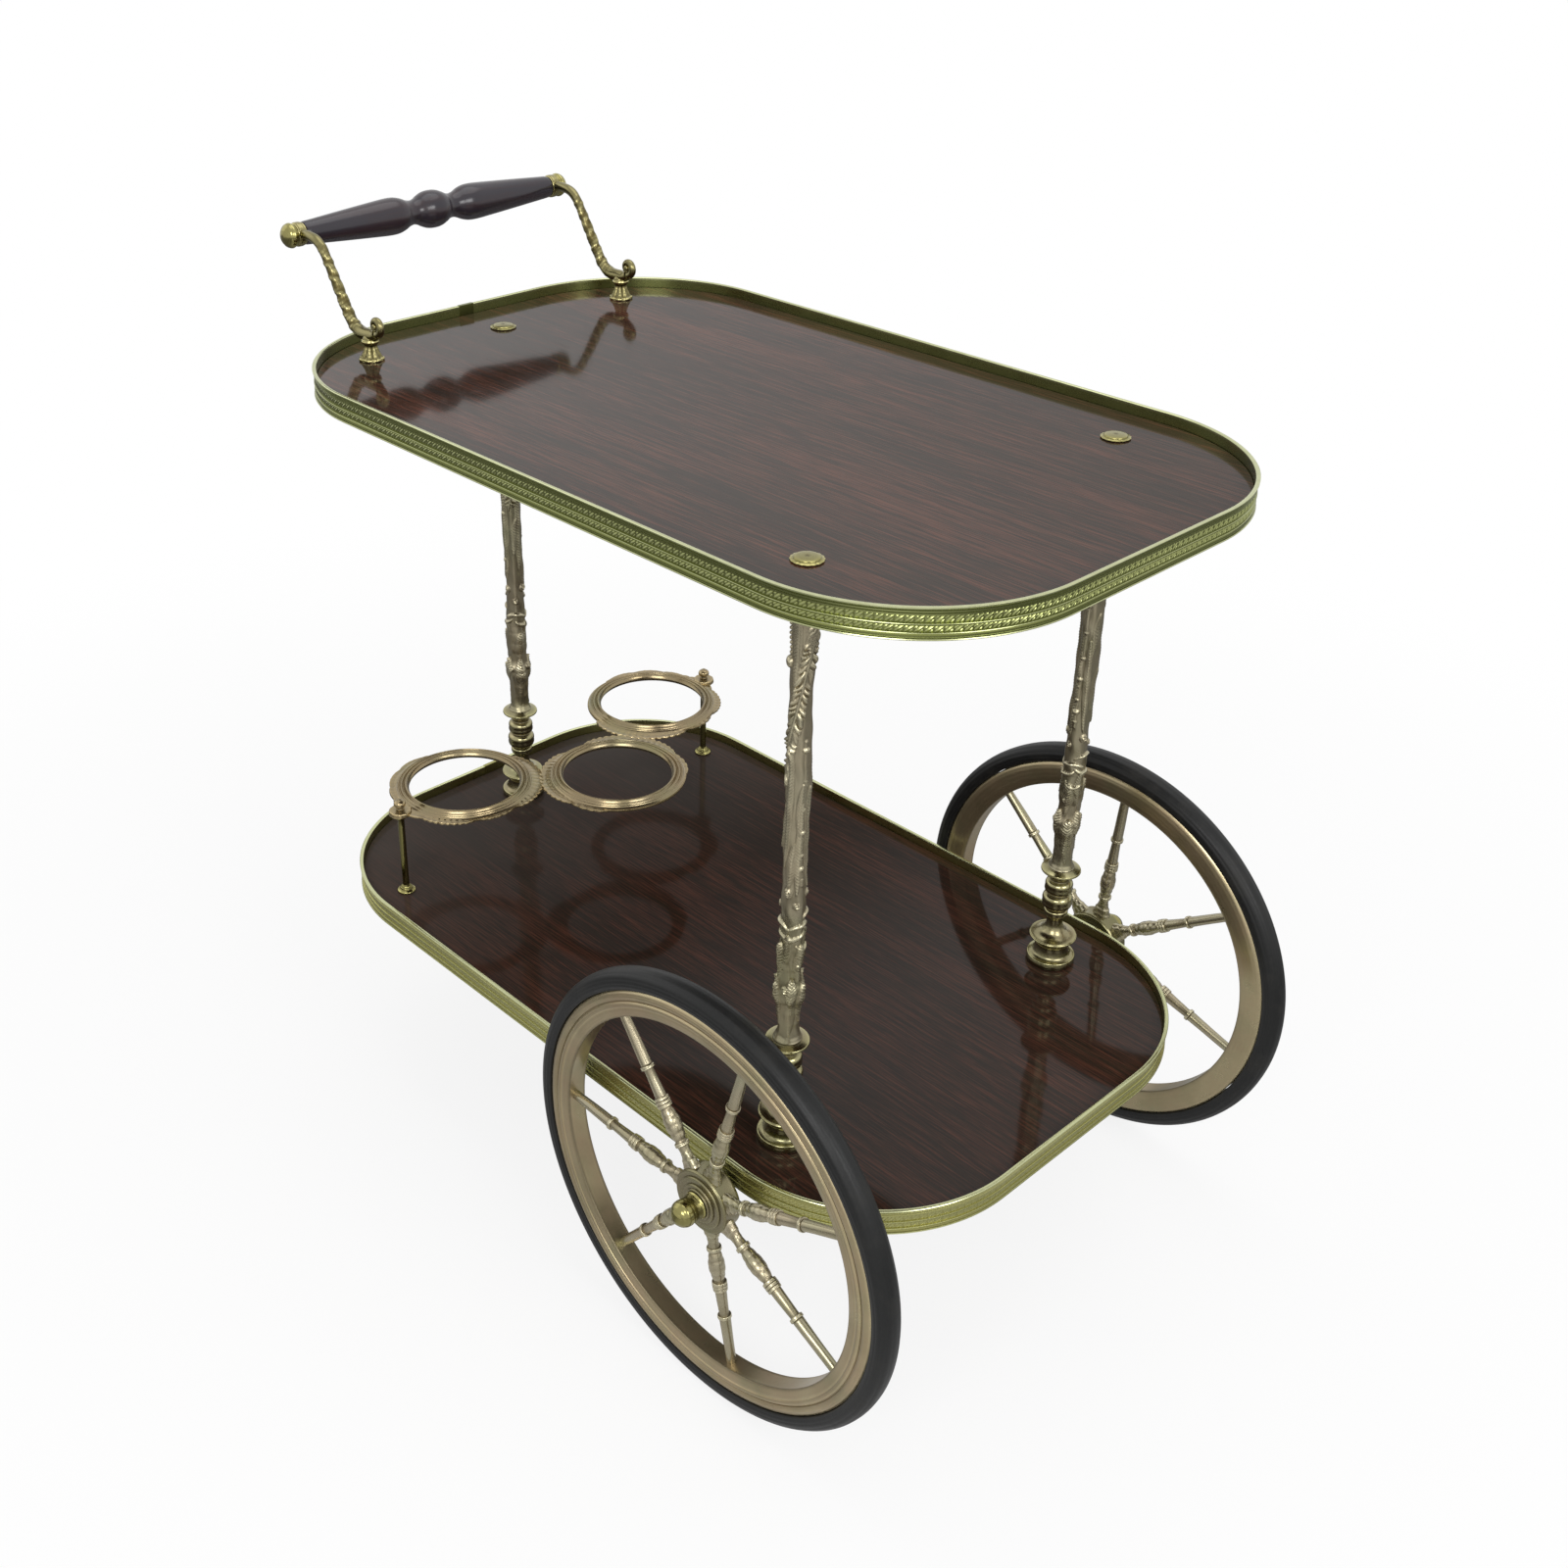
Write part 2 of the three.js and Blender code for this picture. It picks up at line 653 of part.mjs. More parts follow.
// A cast arm: eye round the handle rod, curved rod, pedestal on the board, curl and threaded stud.
function handleArm() {
  const run = gripX - pedestalX;
  const boardSeat = upperBoardTop + clearance;
  const kneeZ = boardSeat + pedestalHeight;
  const line = armLineShares.map(([runShare, riseShare, radiusShare]) =>
    new THREE.Vector3(runShare * run, radiusShare * armRodRadius, kneeZ + riseShare * (gripZ - kneeZ)));
  const curve = new THREE.CatmullRomCurve3(line);
  const halfEye = armEyeWidth / 2;
  const eye = turned(
    [[0, -halfEye], [armEyeRadius, -halfEye], [armEyeRadius, halfEye], [0, halfEye]],
    handleSmallSides,
  ).translate(run, 0, gripZ);
  const pedestal = turnedUp([
    [0, boardSeat], ...scaled(pedestalShares, pedestalRadius, pedestalHeight, boardSeat), [0, kneeZ],
  ], handleSmallSides);
  const curlEnd = line[line.length - 1];
  const curl = new THREE.SphereGeometry(armCurlRadius, 8, 5).translate(curlEnd.x, 0, curlEnd.z);
  const studEnd = upperBoardBottom - 2 * clearance - armNutHeight;
  const stud = rod(armStudRadius, studEnd, boardSeat + armStudRadius, 8);
  const bore = handleRodRadius + clearance;
  const boreTool = turned(
    [[0, -armEyeWidth], [bore, -armEyeWidth], [bore, armEyeWidth], [0, armEyeWidth]],
    handleSmallSides,
  ).translate(run, 0, gripZ);
  const rodBody = taperedRod(curve.getPoints(armRodSteps), armRodSides);
  return cut(joined(rodBody, eye, pedestal, curl, stud), boreTool);
}

const handleCapShares = [[0.86, 0], [0.98, 0.07], [1, 0.2], [0.9, 0.5], [0.66, 0.8], [0.3, 0.97]];

// The ball end of the handle, outwards along -Y from its seat on the arm's eye.
function handleCap() {
  const bore = handleRodRadius + clearance;
  const outer = scaled(handleCapShares, handleCapBallRadius, handleCapBallRadius);
  const loop = [
    [bore, 0], ...outer,
    [0, handleCapBallRadius], [0, handleCapBoreDepth], [bore, handleCapBoreDepth],
  ];
  return turned(loop.map(([radius, y]) => [radius, -y]), handleSmallSides);
}

function handle() {
  const bore = armStudRadius + clearance;
  const nutBottom = upperBoardBottom - clearance - armNutHeight;
  const meshes = [
    named('handle_grip', grip(), gripWood, gripX, 0, gripZ),
    named('handle_rod', handleRod(), steel, gripX, 0, gripZ),
  ];
  for (const { side, sign, turn } of sides) {
    const cap = named(`handle_cap_${side}`, handleCap(), polishedBrass, gripX, sign * capSeatY, gripZ);
    cap.rotation.z = turn;
    const nut = hexNut(armNutRadius, bore, nutBottom, armNutHeight);
    meshes.push(
      named(`handle_arm_${side}`, handleArm(), polishedBrass, pedestalX, sign * armY),
      named(`handle_arm_nut_${side}`, nut, steel, pedestalX, sign * armY),
      cap,
    );
  }
  return meshes;
}

// Bottle holder

// A ring in section: share of its band out from the bore, and of its height.
const ringSectionShares = [
  [0, 0.3], [0.1, 1], [0.3, 0.75], [0.5, 0.9], [1, 0.5], [0.95, 0], [0.12, 0],
];

const towardsMiddle = new THREE.Vector2(middleRingX - sideRingX, sideRingY);
const bridgeAngle = towardsMiddle.angle();

// Leaf lobes round each ring, as shares of a half turn from the line to the neighbouring ring.
const sideLobeShares = [-0.57, -0.26, 0.26, 1];

function holderRing(x, y) {
  const section = scaled(ringSectionShares, ringRadius - ringBoreRadius, ringHeight, ringBottom);
  return turnedUp(section.map(([out, z]) => [ringBoreRadius + out, z]), ringSides).translate(x, y, 0);
}

function lobe(x, y, angle) {
  const centre = ringRadius - lobeRadius / 4;
  return rod(lobeRadius, ringBottom + clearance, ringBottom + lobeHeight, 8)
    .translate(x + centre * Math.cos(angle), y + centre * Math.sin(angle), 0);
}

function bridge(sign) {
  const length = towardsMiddle.length() - 2 * ringBoreRadius - 2 * (ringRadius - ringBoreRadius) / 2;
  return new THREE.BoxGeometry(length, bridgeWidth, bridgeHeight)
    .rotateZ(-sign * bridgeAngle)
    .translate(
      (sideRingX + middleRingX) / 2,
      sign * sideRingY / 2,
      ringBottom + clearance + bridgeHeight / 2,
    );
}

function bottleHolder() {
  const rings = [holderRing(middleRingX, 0)];
  const pads = [];
  const bores = [];
  for (const { sign } of sides) {
    const y = sign * sideRingY;
    rings.push(holderRing(sideRingX, y));
    pads.push(bridge(sign));
    pads.push(rod(lugRadius, ringBottom + clearance, ringBottom + bridgeHeight, 10)
      .translate(sideRingX, sign * stemY, 0));
    for (const lobeShare of sideLobeShares) {
      pads.push(lobe(sideRingX, y, -sign * (bridgeAngle + lobeShare * Math.PI)));
    }
    const backAngle = Math.PI - bridgeAngle;
    pads.push(lobe(middleRingX, 0, sign * (backAngle + sideLobeShares[1] * Math.PI)));
    const lugBore = stemStudRadius + clearance;
    bores.push(rod(lugBore, ringBottom - ringHeight, ringBottom + 2 * ringHeight, stemSides)
      .translate(sideRingX, sign * stemY, 0));
  }
  return cut(joined(rings[0], ...rings.slice(1), ...pads), ...bores);
}

// A stem from the board to the holder's lug: flanged base, thin rod, collar and a stud through the lug.
function holderStem() {
  const seat = lowerBoardTop + clearance;
  const collarTop = ringBottom;
  const collarBottom = collarTop - stemCollarRadius;
  const studTop = collarTop + bridgeHeight + finialHeight / 2;
  return turnedUp([
    [0, lowerBoardBottom + clearance], [stemRadius, lowerBoardBottom + clearance], [stemRadius, seat],
    [stemBaseRadius, seat], [stemBaseRadius, seat + stemBaseHeight / 4],
    [stemRadius, seat + stemBaseHeight], [stemRadius, collarBottom],
    [stemCollarRadius, collarTop - clearance], [stemCollarRadius, collarTop],
    [stemStudRadius, collarTop], [stemStudRadius, studTop], [0, studTop],
  ], stemSides);
}

const finialShares = [[0.55, 0], [0.55, 0.12], [1, 0.5], [0.85, 0.8], [0.45, 0.97]];

function finial() {
  const bottom = ringBottom + bridgeHeight + clearance;
  const bore = stemStudRadius + clearance;
  const boreTop = bottom + finialHeight / 2 + clearance;
  return turnedUp([
    [bore, bottom], ...scaled(finialShares, finialRadius, finialHeight, bottom),
    [0, bottom + finialHeight], [0, boreTop], [bore, boreTop],
  ], stemSides);
}

function holder() {
  const meshes = [named('bottle_holder', bottleHolder(), brass)];
  for (const { side, sign } of sides) {
    meshes.push(
      named(`holder_stem_${side}`, holderStem(), polishedBrass, sideRingX, sign * stemY),
      named(`holder_finial_${side}`, finial(), polishedBrass, sideRingX, sign * stemY),
    );
  }
  return meshes;
}

// The whole cart

const cart = new THREE.Group();
cart.name = 'bar_cart';

const armHoles = sides.map(({ sign }) =>
  ({ x: pedestalX, y: sign * armY, radius: armStudRadius + clearance }));
const stemHoles = sides.map(({ sign }) =>
  ({ x: sideRingX, y: sign * stemY, radius: stemRadius + clearance }));
const capHoles = posts.map(({ x, y }) => ({ x, y, radius: capSleeveRadius + clearance }));
const rodHoles = posts.map(({ x, y }) => ({ x, y, radius: tieRodBoreRadius }));

cart.add(
  trayBoard(
    'upper_tray_board',
    upperBoardTop,
    [...capHoles, ...armHoles],
    trayRear + trayCornerRadius,
    frontPostX - 2 * capRadius,
  ),
  trayBoard(
    'lower_tray_board',
    lowerBoardTop,
    [...rodHoles, ...stemHoles],
    middleRingX + ringRadius,
    frontPostX - 2 * footRadius,
  ),
  named('upper_tray_gallery', galleryStrip(upperBoardTop + galleryRise), galleryBrass, trayX),
  named('lower_tray_gallery', notchedGallery(lowerBoardTop + galleryRise), galleryBrass, trayX),
  ...posts.flatMap(post),
  named('axle', axle(), steel, axleX, 0, wheelRadius),
  wheel(sides[0], rightWheelTurn),
  wheel(sides[1], leftWheelTurn),
  castor(),
  ...handle(),
  ...holder(),
);

for (const { side, sign, turn } of sides) {
  const nutY = sign * (wheelY + hubFront + clearance);
  const nut = named(`hub_nut_${side}`, hubNut(), polishedBrass, axleX, nutY, wheelRadius);
  nut.rotation.z = turn;
  const rodNut = hexNut(tieRodNutRadius, tieRodBoreRadius, tieRodNutBottom, tieRodNutHeight);
  cart.add(nut, named(`tie_rod_nut_${side}`, rodNut, steel, frontPostX, sign * frontPostY));
}

export default cart;
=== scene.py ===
"""Dresses the bar cart's frame: turnings, cast ornament, stamped galleries, finishes and studio."""

import math

import bmesh
import bpy
import numpy as np
from mathutils import Matrix, Vector


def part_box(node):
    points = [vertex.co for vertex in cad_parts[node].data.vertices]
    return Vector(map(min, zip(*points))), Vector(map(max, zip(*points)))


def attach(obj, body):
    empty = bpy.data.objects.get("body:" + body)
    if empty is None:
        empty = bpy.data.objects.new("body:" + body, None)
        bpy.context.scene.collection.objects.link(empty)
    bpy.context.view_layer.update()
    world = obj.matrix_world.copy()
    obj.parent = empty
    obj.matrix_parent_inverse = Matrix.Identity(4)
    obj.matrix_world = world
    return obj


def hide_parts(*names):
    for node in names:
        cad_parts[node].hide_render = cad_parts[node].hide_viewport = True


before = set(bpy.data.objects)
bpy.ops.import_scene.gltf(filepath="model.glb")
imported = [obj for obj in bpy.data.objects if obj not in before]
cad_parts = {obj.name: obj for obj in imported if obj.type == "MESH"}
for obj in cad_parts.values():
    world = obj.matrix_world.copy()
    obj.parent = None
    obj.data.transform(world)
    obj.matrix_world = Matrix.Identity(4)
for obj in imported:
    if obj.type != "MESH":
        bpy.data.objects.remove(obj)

bl_info = {
    "name": "Bar Cart Dressing",
    "version": (1, 0, 0),
    "blender": (4, 5, 0),
    "location": "3D View > Sidebar > Bar Cart",
    "description": "Turned brass, stamped galleries and rosewood for a two-tier bar cart",
    "category": "Object",
}

MM = 0.001
FULL_TURN = 2 * math.pi
WHITE = (1.0, 1.0, 1.0, 1.0)
SIDES = {"right": -1, "left": 1}
POSTS = ("rear", "right", "left")
TRAYS = ("upper", "lower")
QUARTERS = ((1, 1), (-1, 1), (-1, -1), (1, -1))
SHARP_ANGLE = math.radians(38)


# Sizes and colours


def a_length(name, description, default):
    return bpy.props.FloatProperty(
        name=name, description=description, default=default, subtype="DISTANCE", unit="LENGTH"
    )


def an_angle(name, description, degrees):
    return bpy.props.FloatProperty(
        name=name, description=description, default=math.radians(degrees), subtype="ANGLE",
        unit="ROTATION",
    )


def a_count(name, description, default):
    return bpy.props.IntProperty(name=name, description=description, default=default, min=1)


def a_number(name, description, default):
    return bpy.props.FloatProperty(name=name, description=description, default=default)


def a_power(name, description, default):
    return bpy.props.FloatProperty(name=name, description=description, default=default, unit="POWER")


def a_colour(name, description, default):
    return bpy.props.FloatVectorProperty(
        name=name, description=description, default=default, subtype="COLOR", size=3, min=0, max=1
    )


class CartColours(bpy.types.PropertyGroup):
    """Colours of the finishes."""

    antique_brass: a_colour("Antique Brass", "Columns, spokes and castor", (0.385, 0.355, 0.245))
    # Painted shade for the hollows of the cast brass.
    antique_recess_shade: a_colour("Antique Recess", "Painted shade of dull brass deep in the casting", (0.20, 0.168, 0.105))
    antique_blush: a_colour("Antique Blush", "Warm patches on the cast brass", (0.41, 0.325, 0.22))
    antique_olive: a_colour("Antique Olive", "Green patches on the cast brass", (0.28, 0.29, 0.145))
    ring_brass: a_colour("Ring Brass", "Bottle rings, more tarnished", (0.315, 0.245, 0.13))
    foot_brass: a_colour("Foot Brass", "Feet and hubs, greener", (0.295, 0.275, 0.14))
    wheel_brass: a_colour("Wheel Brass", "Rims of the wheels, dull", (0.375, 0.32, 0.19))
    wheel_blush: a_colour("Wheel Blush", "Warm patches on the rims", (0.42, 0.29, 0.185))
    gallery_brass: a_colour("Gallery Brass", "Stamped strips round the trays", (0.24, 0.262, 0.08))
    # A lighter, yellower copy of the gallery brass: painted sheen on the lower gallery.
    gallery_sheen: a_colour("Lower Gallery", "Yellower, lighter copy of the gallery brass: painted sheen on the lower gallery", (0.45, 0.43, 0.155))
    # Painted shade for the grooves of the stamped strips.
    gallery_recess_shade: a_colour("Gallery Recess", "Grooves of the stamped strips", (0.11, 0.125, 0.04))
    # Painted highlight for the galleries' lip and the crests of their stamps.
    gallery_lip_highlight: a_colour("Gallery Lip", "Bright edge of the stamped strips", (0.56, 0.58, 0.34))
    polished_brass: a_colour("Polished Brass", "Ball nuts, caps and stems", (0.26, 0.235, 0.092))
    arm_brass: a_colour("Arm Brass", "Arms of the handle", (0.23, 0.205, 0.095))
    # Painted shade for the hollows of the polished brass.
    polished_recess_shade: a_colour("Polished Recess", "Hollows of the polished brass", (0.10, 0.08, 0.03))
    steel: a_colour("Steel", "Rods, nuts and axle", (0.32, 0.31, 0.29))
    rosewood: a_colour("Rosewood", "Ground of the boards", (0.032, 0.0205, 0.014))
    rosewood_streak: a_colour("Rosewood Streak", "Red streaks along the boards", (0.116, 0.045, 0.028))
    board_dust: a_colour("Board Dust", "Grey haze where the lower board is dull", (0.072, 0.060, 0.052))
    rosewood_pore: a_colour("Rosewood Pore", "Dark lines along the boards", (0.013, 0.0095, 0.008))
    grip_wood: a_colour("Grip Wood", "Turned handle grip", (0.027, 0.0225, 0.030))
    grip_streak: a_colour("Grip Streak", "Warm grain of the grip", (0.045, 0.016, 0.015))
    rubber: a_colour("Rubber", "Tyres", (0.0085, 0.009, 0.0092))
    floor: a_colour("Floor", "Plain pale floor", (0.9, 0.9, 0.9))


class CartSizes(bpy.types.PropertyGroup):
    """Sizes of the ornament that the dressing adds."""

    stamp_pitch: a_length("Stamp Pitch", "Step between the gallery's stamps", 5.5 * MM)
    stamp_proud: a_length("Stamp Proud", "How far a stamp stands out", 0.42 * MM)
    sleeve_length: a_length("Seam Sleeve", "Length of the sleeve over a gallery's seam", 14 * MM)
    garland_proud: a_length("Garland Proud", "How far the garland stands out of a column", 1.7 * MM)
    bead_radius: a_length("Bead Radius", "Radius of the small beads on a column", 1.3 * MM)
    twist_proud: a_length("Twist Proud", "Height of the twist on the handle's arms", 0.45 * MM)
    scallops: a_count("Scallops", "Scallops round a post's cap", 16)
    spokes: a_count("Spokes", "Spokes in a wheel", 7)
    right_wheel_turn: an_angle("Right Wheel Turn", "Angle of the right wheel's first spoke", 178.9)
    left_wheel_turn: an_angle("Left Wheel Turn", "Angle of the left wheel's first spoke", 137.6)


class CartStudio(bpy.types.PropertyGroup):
    """Camera, lamps and floor."""

    camera_place: bpy.props.FloatVectorProperty(
        name="Camera Place", description="Where the camera stands",
        default=(0.85617, -0.85142, 1.04433), subtype="TRANSLATION", unit="LENGTH", size=3,
    )
    azimuth: an_angle("Azimuth", "Turn of the view round the cart", 47.178)
    elevation: an_angle("Elevation", "Height of the view above level", 28.299)
    roll: an_angle("Roll", "Lean of the view", 0.234)
    focal: a_number("Focal Length", "Lens in millimetres for a 36 mm frame", 40.873)
    shift_x: a_number("Shift X", "Sideways shift of the frame", 0.0675)
    shift_y: a_number("Shift Y", "Upward shift of the frame", -0.0572)
    sky_high: a_number("Sky High", "Brightness of the soft light overhead", 0.9)
    sky_low: a_number("Sky Low", "Brightness of the soft light from the sides", 0.25)
    window_power: a_power("Window Power", "Each of the two upright window lamps", 21.0)
    fill_power: a_power("Fill Power", "Soft lamp on the other side", 4.5)
    top_power: a_power("Top Power", "Soft lamp overhead", 14.0)
    floor_glow: a_number("Floor Glow", "Share of plain white in the floor near the cart", 0.84)
    floor_size: a_length("Floor Size", "Width of the floor", 30.0)
    # A glowing grey card that only reflections see: painted dark surroundings, lighter towards the
    # windows.
    reflection_card_radius: a_length("Reflection Card Radius", "Reach of the grey that only the reflections show", 6.0)
    reflection_card_level: a_number("Reflection Card Level", "How light that grey is", 0.19)
    reflection_card_gleam: a_number("Reflection Card Gleam", "How much lighter it is towards the windows", 0.74)


# Node graphs, for finishes and for Geometry Nodes


class Wire:
    """An output socket. Sums written with it add Math nodes to its graph."""

    def __init__(self, graph, socket):
        self.graph = graph
        self.socket = socket

    def math(self, operation, *values):
        return self.graph.add("ShaderNodeMath", {"operation": operation}, dict(enumerate(values)))

    def __add__(self, other):
        return self.math("ADD", self, other)

    def __radd__(self, other):
        return self.math("ADD", other, self)

    def __sub__(self, other):
        return self.math("SUBTRACT", self, other)

    def __rsub__(self, other):
        return self.math("SUBTRACT", other, self)

    def __mul__(self, other):
        return self.math("MULTIPLY", self, other)

    def __rmul__(self, other):
        return self.math("MULTIPLY", other, self)

    def __truediv__(self, other):
        return self.math("DIVIDE", self, other)

    def clamped(self):
        return self.math("MINIMUM", self.math("MAXIMUM", self, 0.0), 1.0)

    def at_least(self, other):
        return self.math("MAXIMUM", self, other)


class Graph:
    """Adds nodes to a shader or geometry tree."""

    def __init__(self, tree):
        self.tree = tree
        tree.nodes.clear()

    def add(self, kind, settings=None, inputs=None, output=0):
        """One node: its type, its settings, and the values or wires of its sockets."""
        node = self.tree.nodes.new(kind)
        for name, value in (settings or {}).items():
            if name == "stops":
                self.set_stops(node.color_ramp, value)
            else:
                setattr(node, name, value)
        for name, value in (inputs or {}).items():
            if isinstance(value, Wire):
                self.tree.links.new(value.socket, node.inputs[name])
            else:
                node.inputs[name].default_value = value
        if not node.outputs:
            return None
        return Wire(self, node.outputs[output])

    @staticmethod
    def set_stops(ramp, stops):
        while len(ramp.elements) < len(stops):
            ramp.elements.new(1.0)
        for element, (position, level) in zip(ramp.elements, stops):
            element.position = position
            element.color = (level, level, level, 1.0)

    def mixed(self, share, first, second):
        """A colour between two colours."""
        inputs = {0: share, 6: opaque(first), 7: opaque(second)}
        return self.add("ShaderNodeMix", {"data_type": "RGBA"}, inputs, output=2)

    def socket(self, name, kind, inwards=True):
        direction = "INPUT" if inwards else "OUTPUT"
        return self.tree.interface.new_socket(name, in_out=direction, socket_type=kind)


def opaque(colour):
    """A colour with alpha, or the wire that it already is."""
    return colour if isinstance(colour, Wire) else (*tuple(colour)[:3], 1.0)


# Finishes

# Noise scales of the metals, in patterns to the metre.
GREEN_SCALE = 17.0
CLOUD_SCALE = 26.0
WEAR_SCALE = 140.0
SPECK_SCALE = 420.0
CAST_GRAIN_SCALE = 900.0
# Scales of the woods' figure along X, Y and Z.
SLOW_FIGURE = (1.6, 22.0, 20.0)
BAND_FIGURE = (9.0, 300.0, 60.0)
LINE_FIGURE = (30.0, 900.0, 200.0)
PORE_FIGURE = (24.0, 1100.0, 240.0)
GRIP_FIGURE = (160.0, 9.0, 160.0)
# A board's polish: the axis that it changes along, where the change starts and ends, and the weight of
# the coat at either place.
UPPER_POLISH = ("Y", -0.2, 0.2, 0.24, 0.0)
LOWER_POLISH = ("X", -0.06, 0.2, 0.02, 0.38)
# How far the dust on the lower board reaches from where its polish ends.
DUST_REACH = 0.22
PATCH_SCALE = 7.0
RIPPLE_SCALE = 16.0
HAZE_SCALE = 55.0
TYRE_DUST = (0.05, 0.046, 0.038)


class Finish(Graph):
    """One procedural material on Object coordinates."""

    def __init__(self, name):
        self.material = bpy.data.materials.new(name)
        self.material.use_nodes = True
        super().__init__(self.material.node_tree)
        self.place = self.add("ShaderNodeTexCoord", output=3)

    def scaled_place(self, scale):
        return self.add("ShaderNodeMapping", {}, {"Vector": self.place, "Scale": scale})

    def noise(self, scale, detail=3.0, roughness=0.5, place=None):
        return self.add("ShaderNodeTexNoise", {}, {
            "Vector": place or self.place, "Scale": scale, "Detail": detail, "Roughness": roughness,
        })

    def ramp(self, wire, *stops):
        return self.add("ShaderNodeValToRGB", {"stops": stops}, {"Fac": wire})

    def attribute(self, name):
        return self.add("ShaderNodeAttribute", {"attribute_name": name}, output=2)

    def bump(self, height, depth):
        return self.add("ShaderNodeBump", {}, {"Height": height, "Strength": 1.0, "Distance": depth})

    def close(self, **inputs):
        """Ends the finish in one Principled shader."""
        names = {name.replace("_", " ").title().replace("Ior", "IOR"): v for name, v in inputs.items()}
        shader = self.add("ShaderNodeBsdfPrincipled", {}, names)
        self.add("ShaderNodeOutputMaterial", {}, {"Surface": shader})
        return self.material


def metal_finish(
    name, colour, recess, crest, roughness, grain_depth, blush=None, olive=None, metallic=1.0
):
    """Brass or steel: darker in recesses as painted shade, paler on crests as a painted highlight, with
    cloudy tarnish and a cast grain.
    """
    graph = Finish(name)
    cloud = graph.ramp(graph.noise(CLOUD_SCALE, 4.0, 0.6), (0.32, 0.0), (0.68, 1.0))
    speck = graph.ramp(graph.noise(SPECK_SCALE, 2.0, 0.6), (0.55, 0.0), (0.78, 1.0))
    grain = graph.noise(CAST_GRAIN_SCALE, 3.0, 0.65)
    wear = graph.noise(WEAR_SCALE, 3.0, 0.6)
    # Painted shade in recesses, spread by the wear noise, with random dark specks.
    deep = (graph.attribute("recess") * (0.75 + wear * 0.5) + speck * 0.14).clamped()
    # Painted highlight on crests.
    high = graph.attribute("crest")
    green = graph.ramp(graph.noise(GREEN_SCALE, 3.0, 0.55), (0.42, 0.0), (0.66, 1.0))
    cooled = graph.mixed(green * 0.7, colour, olive or colour)
    warm = graph.mixed(cloud * 0.65, cooled, blush or colour)
    tarnished = graph.mixed((cloud * 0.22).clamped(), warm, [0.72 * part for part in colour])
    # Paints the shade in, then the highlight.
    recess_shaded = graph.mixed(deep, tarnished, recess)
    crest_highlighted = graph.mixed((high * (0.6 + wear * 0.6)).clamped(), recess_shaded, crest)
    rough = (roughness + deep * 0.22 + cloud * 0.08 - high * 0.06 + wear * 0.06).clamped()
    relief = grain * 0.5 + wear * 0.5
    return graph.close(
        base_color=crest_highlighted, metallic=metallic, roughness=rough, normal=graph.bump(relief, grain_depth)
    )


def wood_finish(name, ground, streak, pore, roughness, gloss, polish, dust_share):
    """Rosewood under lacquer: red streaks and dark lines along X, and a faint ripple in the gloss."""
    graph = Finish(name)
    slow = graph.noise(1.0, 2.0, 0.5, graph.scaled_place(SLOW_FIGURE))
    bands = graph.noise(1.0, 3.0, 0.6, graph.scaled_place(BAND_FIGURE))
    lines = graph.noise(1.0, 3.0, 0.6, graph.scaled_place(LINE_FIGURE))
    pores = graph.noise(1.0, 3.0, 0.6, graph.scaled_place(PORE_FIGURE))
    red = graph.ramp(bands * 0.35 + slow * 0.25 + lines * 0.4, (0.47, 0.0), (0.58, 1.0))
    dark = graph.ramp(pores * 0.7 + bands * 0.3, (0.48, 0.0), (0.57, 1.0))
    colour = graph.mixed(red * 0.9, ground, streak)
    lined = graph.mixed(dark * 0.6, colour, pore)
    axis, start, end, first, last = polish
    place = graph.add("ShaderNodeSeparateXYZ", {}, {"Vector": graph.place}, output=axis)
    along = ((place - start) / (end - start)).clamped()
    smooth_share = along * along * (3.0 - 2.0 * along)
    haze = graph.noise(HAZE_SCALE, 4.0, 0.6)
    patches = graph.noise(PATCH_SCALE, 3.0, 0.6)
    settled = ((start - place) / DUST_REACH).clamped()
    dusty = (settled * (0.6 + patches * 0.8) * dust_share).clamped()
    dulled = graph.mixed(dusty, lined, bpy.context.scene.cart_colours.board_dust)
    rough = (roughness + haze * 0.05 + dark * 0.04).clamped()
    ripple = graph.noise(RIPPLE_SCALE, 2.0, 0.4) + lines * 0.1
    return graph.close(
        base_color=dulled, roughness=rough, specular_ior_level=gloss,
        normal=graph.bump(ripple, 0.1 * MM),
        coat_weight=first + (last - first) * smooth_share, coat_roughness=roughness,
    )


def grip_finish(name, ground, streak):
    """Near-black turned wood, lacquered, its grain along Y."""
    graph = Finish(name)
    grain = graph.noise(1.0, 4.0, 0.6, graph.scaled_place(GRIP_FIGURE))
    warm = graph.ramp(grain, (0.42, 0.0), (0.72, 1.0))
    haze = graph.noise(40.0, 3.0, 0.6)
    colour = graph.mixed(warm * 0.5, ground, streak)
    return graph.close(
        base_color=colour, roughness=(0.14 + haze * 0.1 + warm * 0.05).clamped(),
        specular_ior_level=0.5, normal=graph.bump(grain * 0.15 + haze * 0.85, 0.05 * MM),
    )


def rubber_finish(name, colour):
    """Black rubber with a dull, slightly dusty skin."""
    graph = Finish(name)
    dust = graph.ramp(graph.noise(30.0, 5.0, 0.65), (0.5, 0.0), (0.8, 1.0))
    scuff = graph.noise(300.0, 3.0, 0.7)
    dusty = graph.mixed(dust * 0.3 + scuff * 0.1, colour, TYRE_DUST)
    return graph.close(
        base_color=dusty, roughness=(0.38 + dust * 0.2 + scuff * 0.1).clamped(),
        specular_ior_level=0.27, normal=graph.bump(scuff, 0.12 * MM),
    )


def lighter(colour, times):
    """A colour made lighter, or darker below 1."""
    return [min(1.0, times * part) for part in colour]


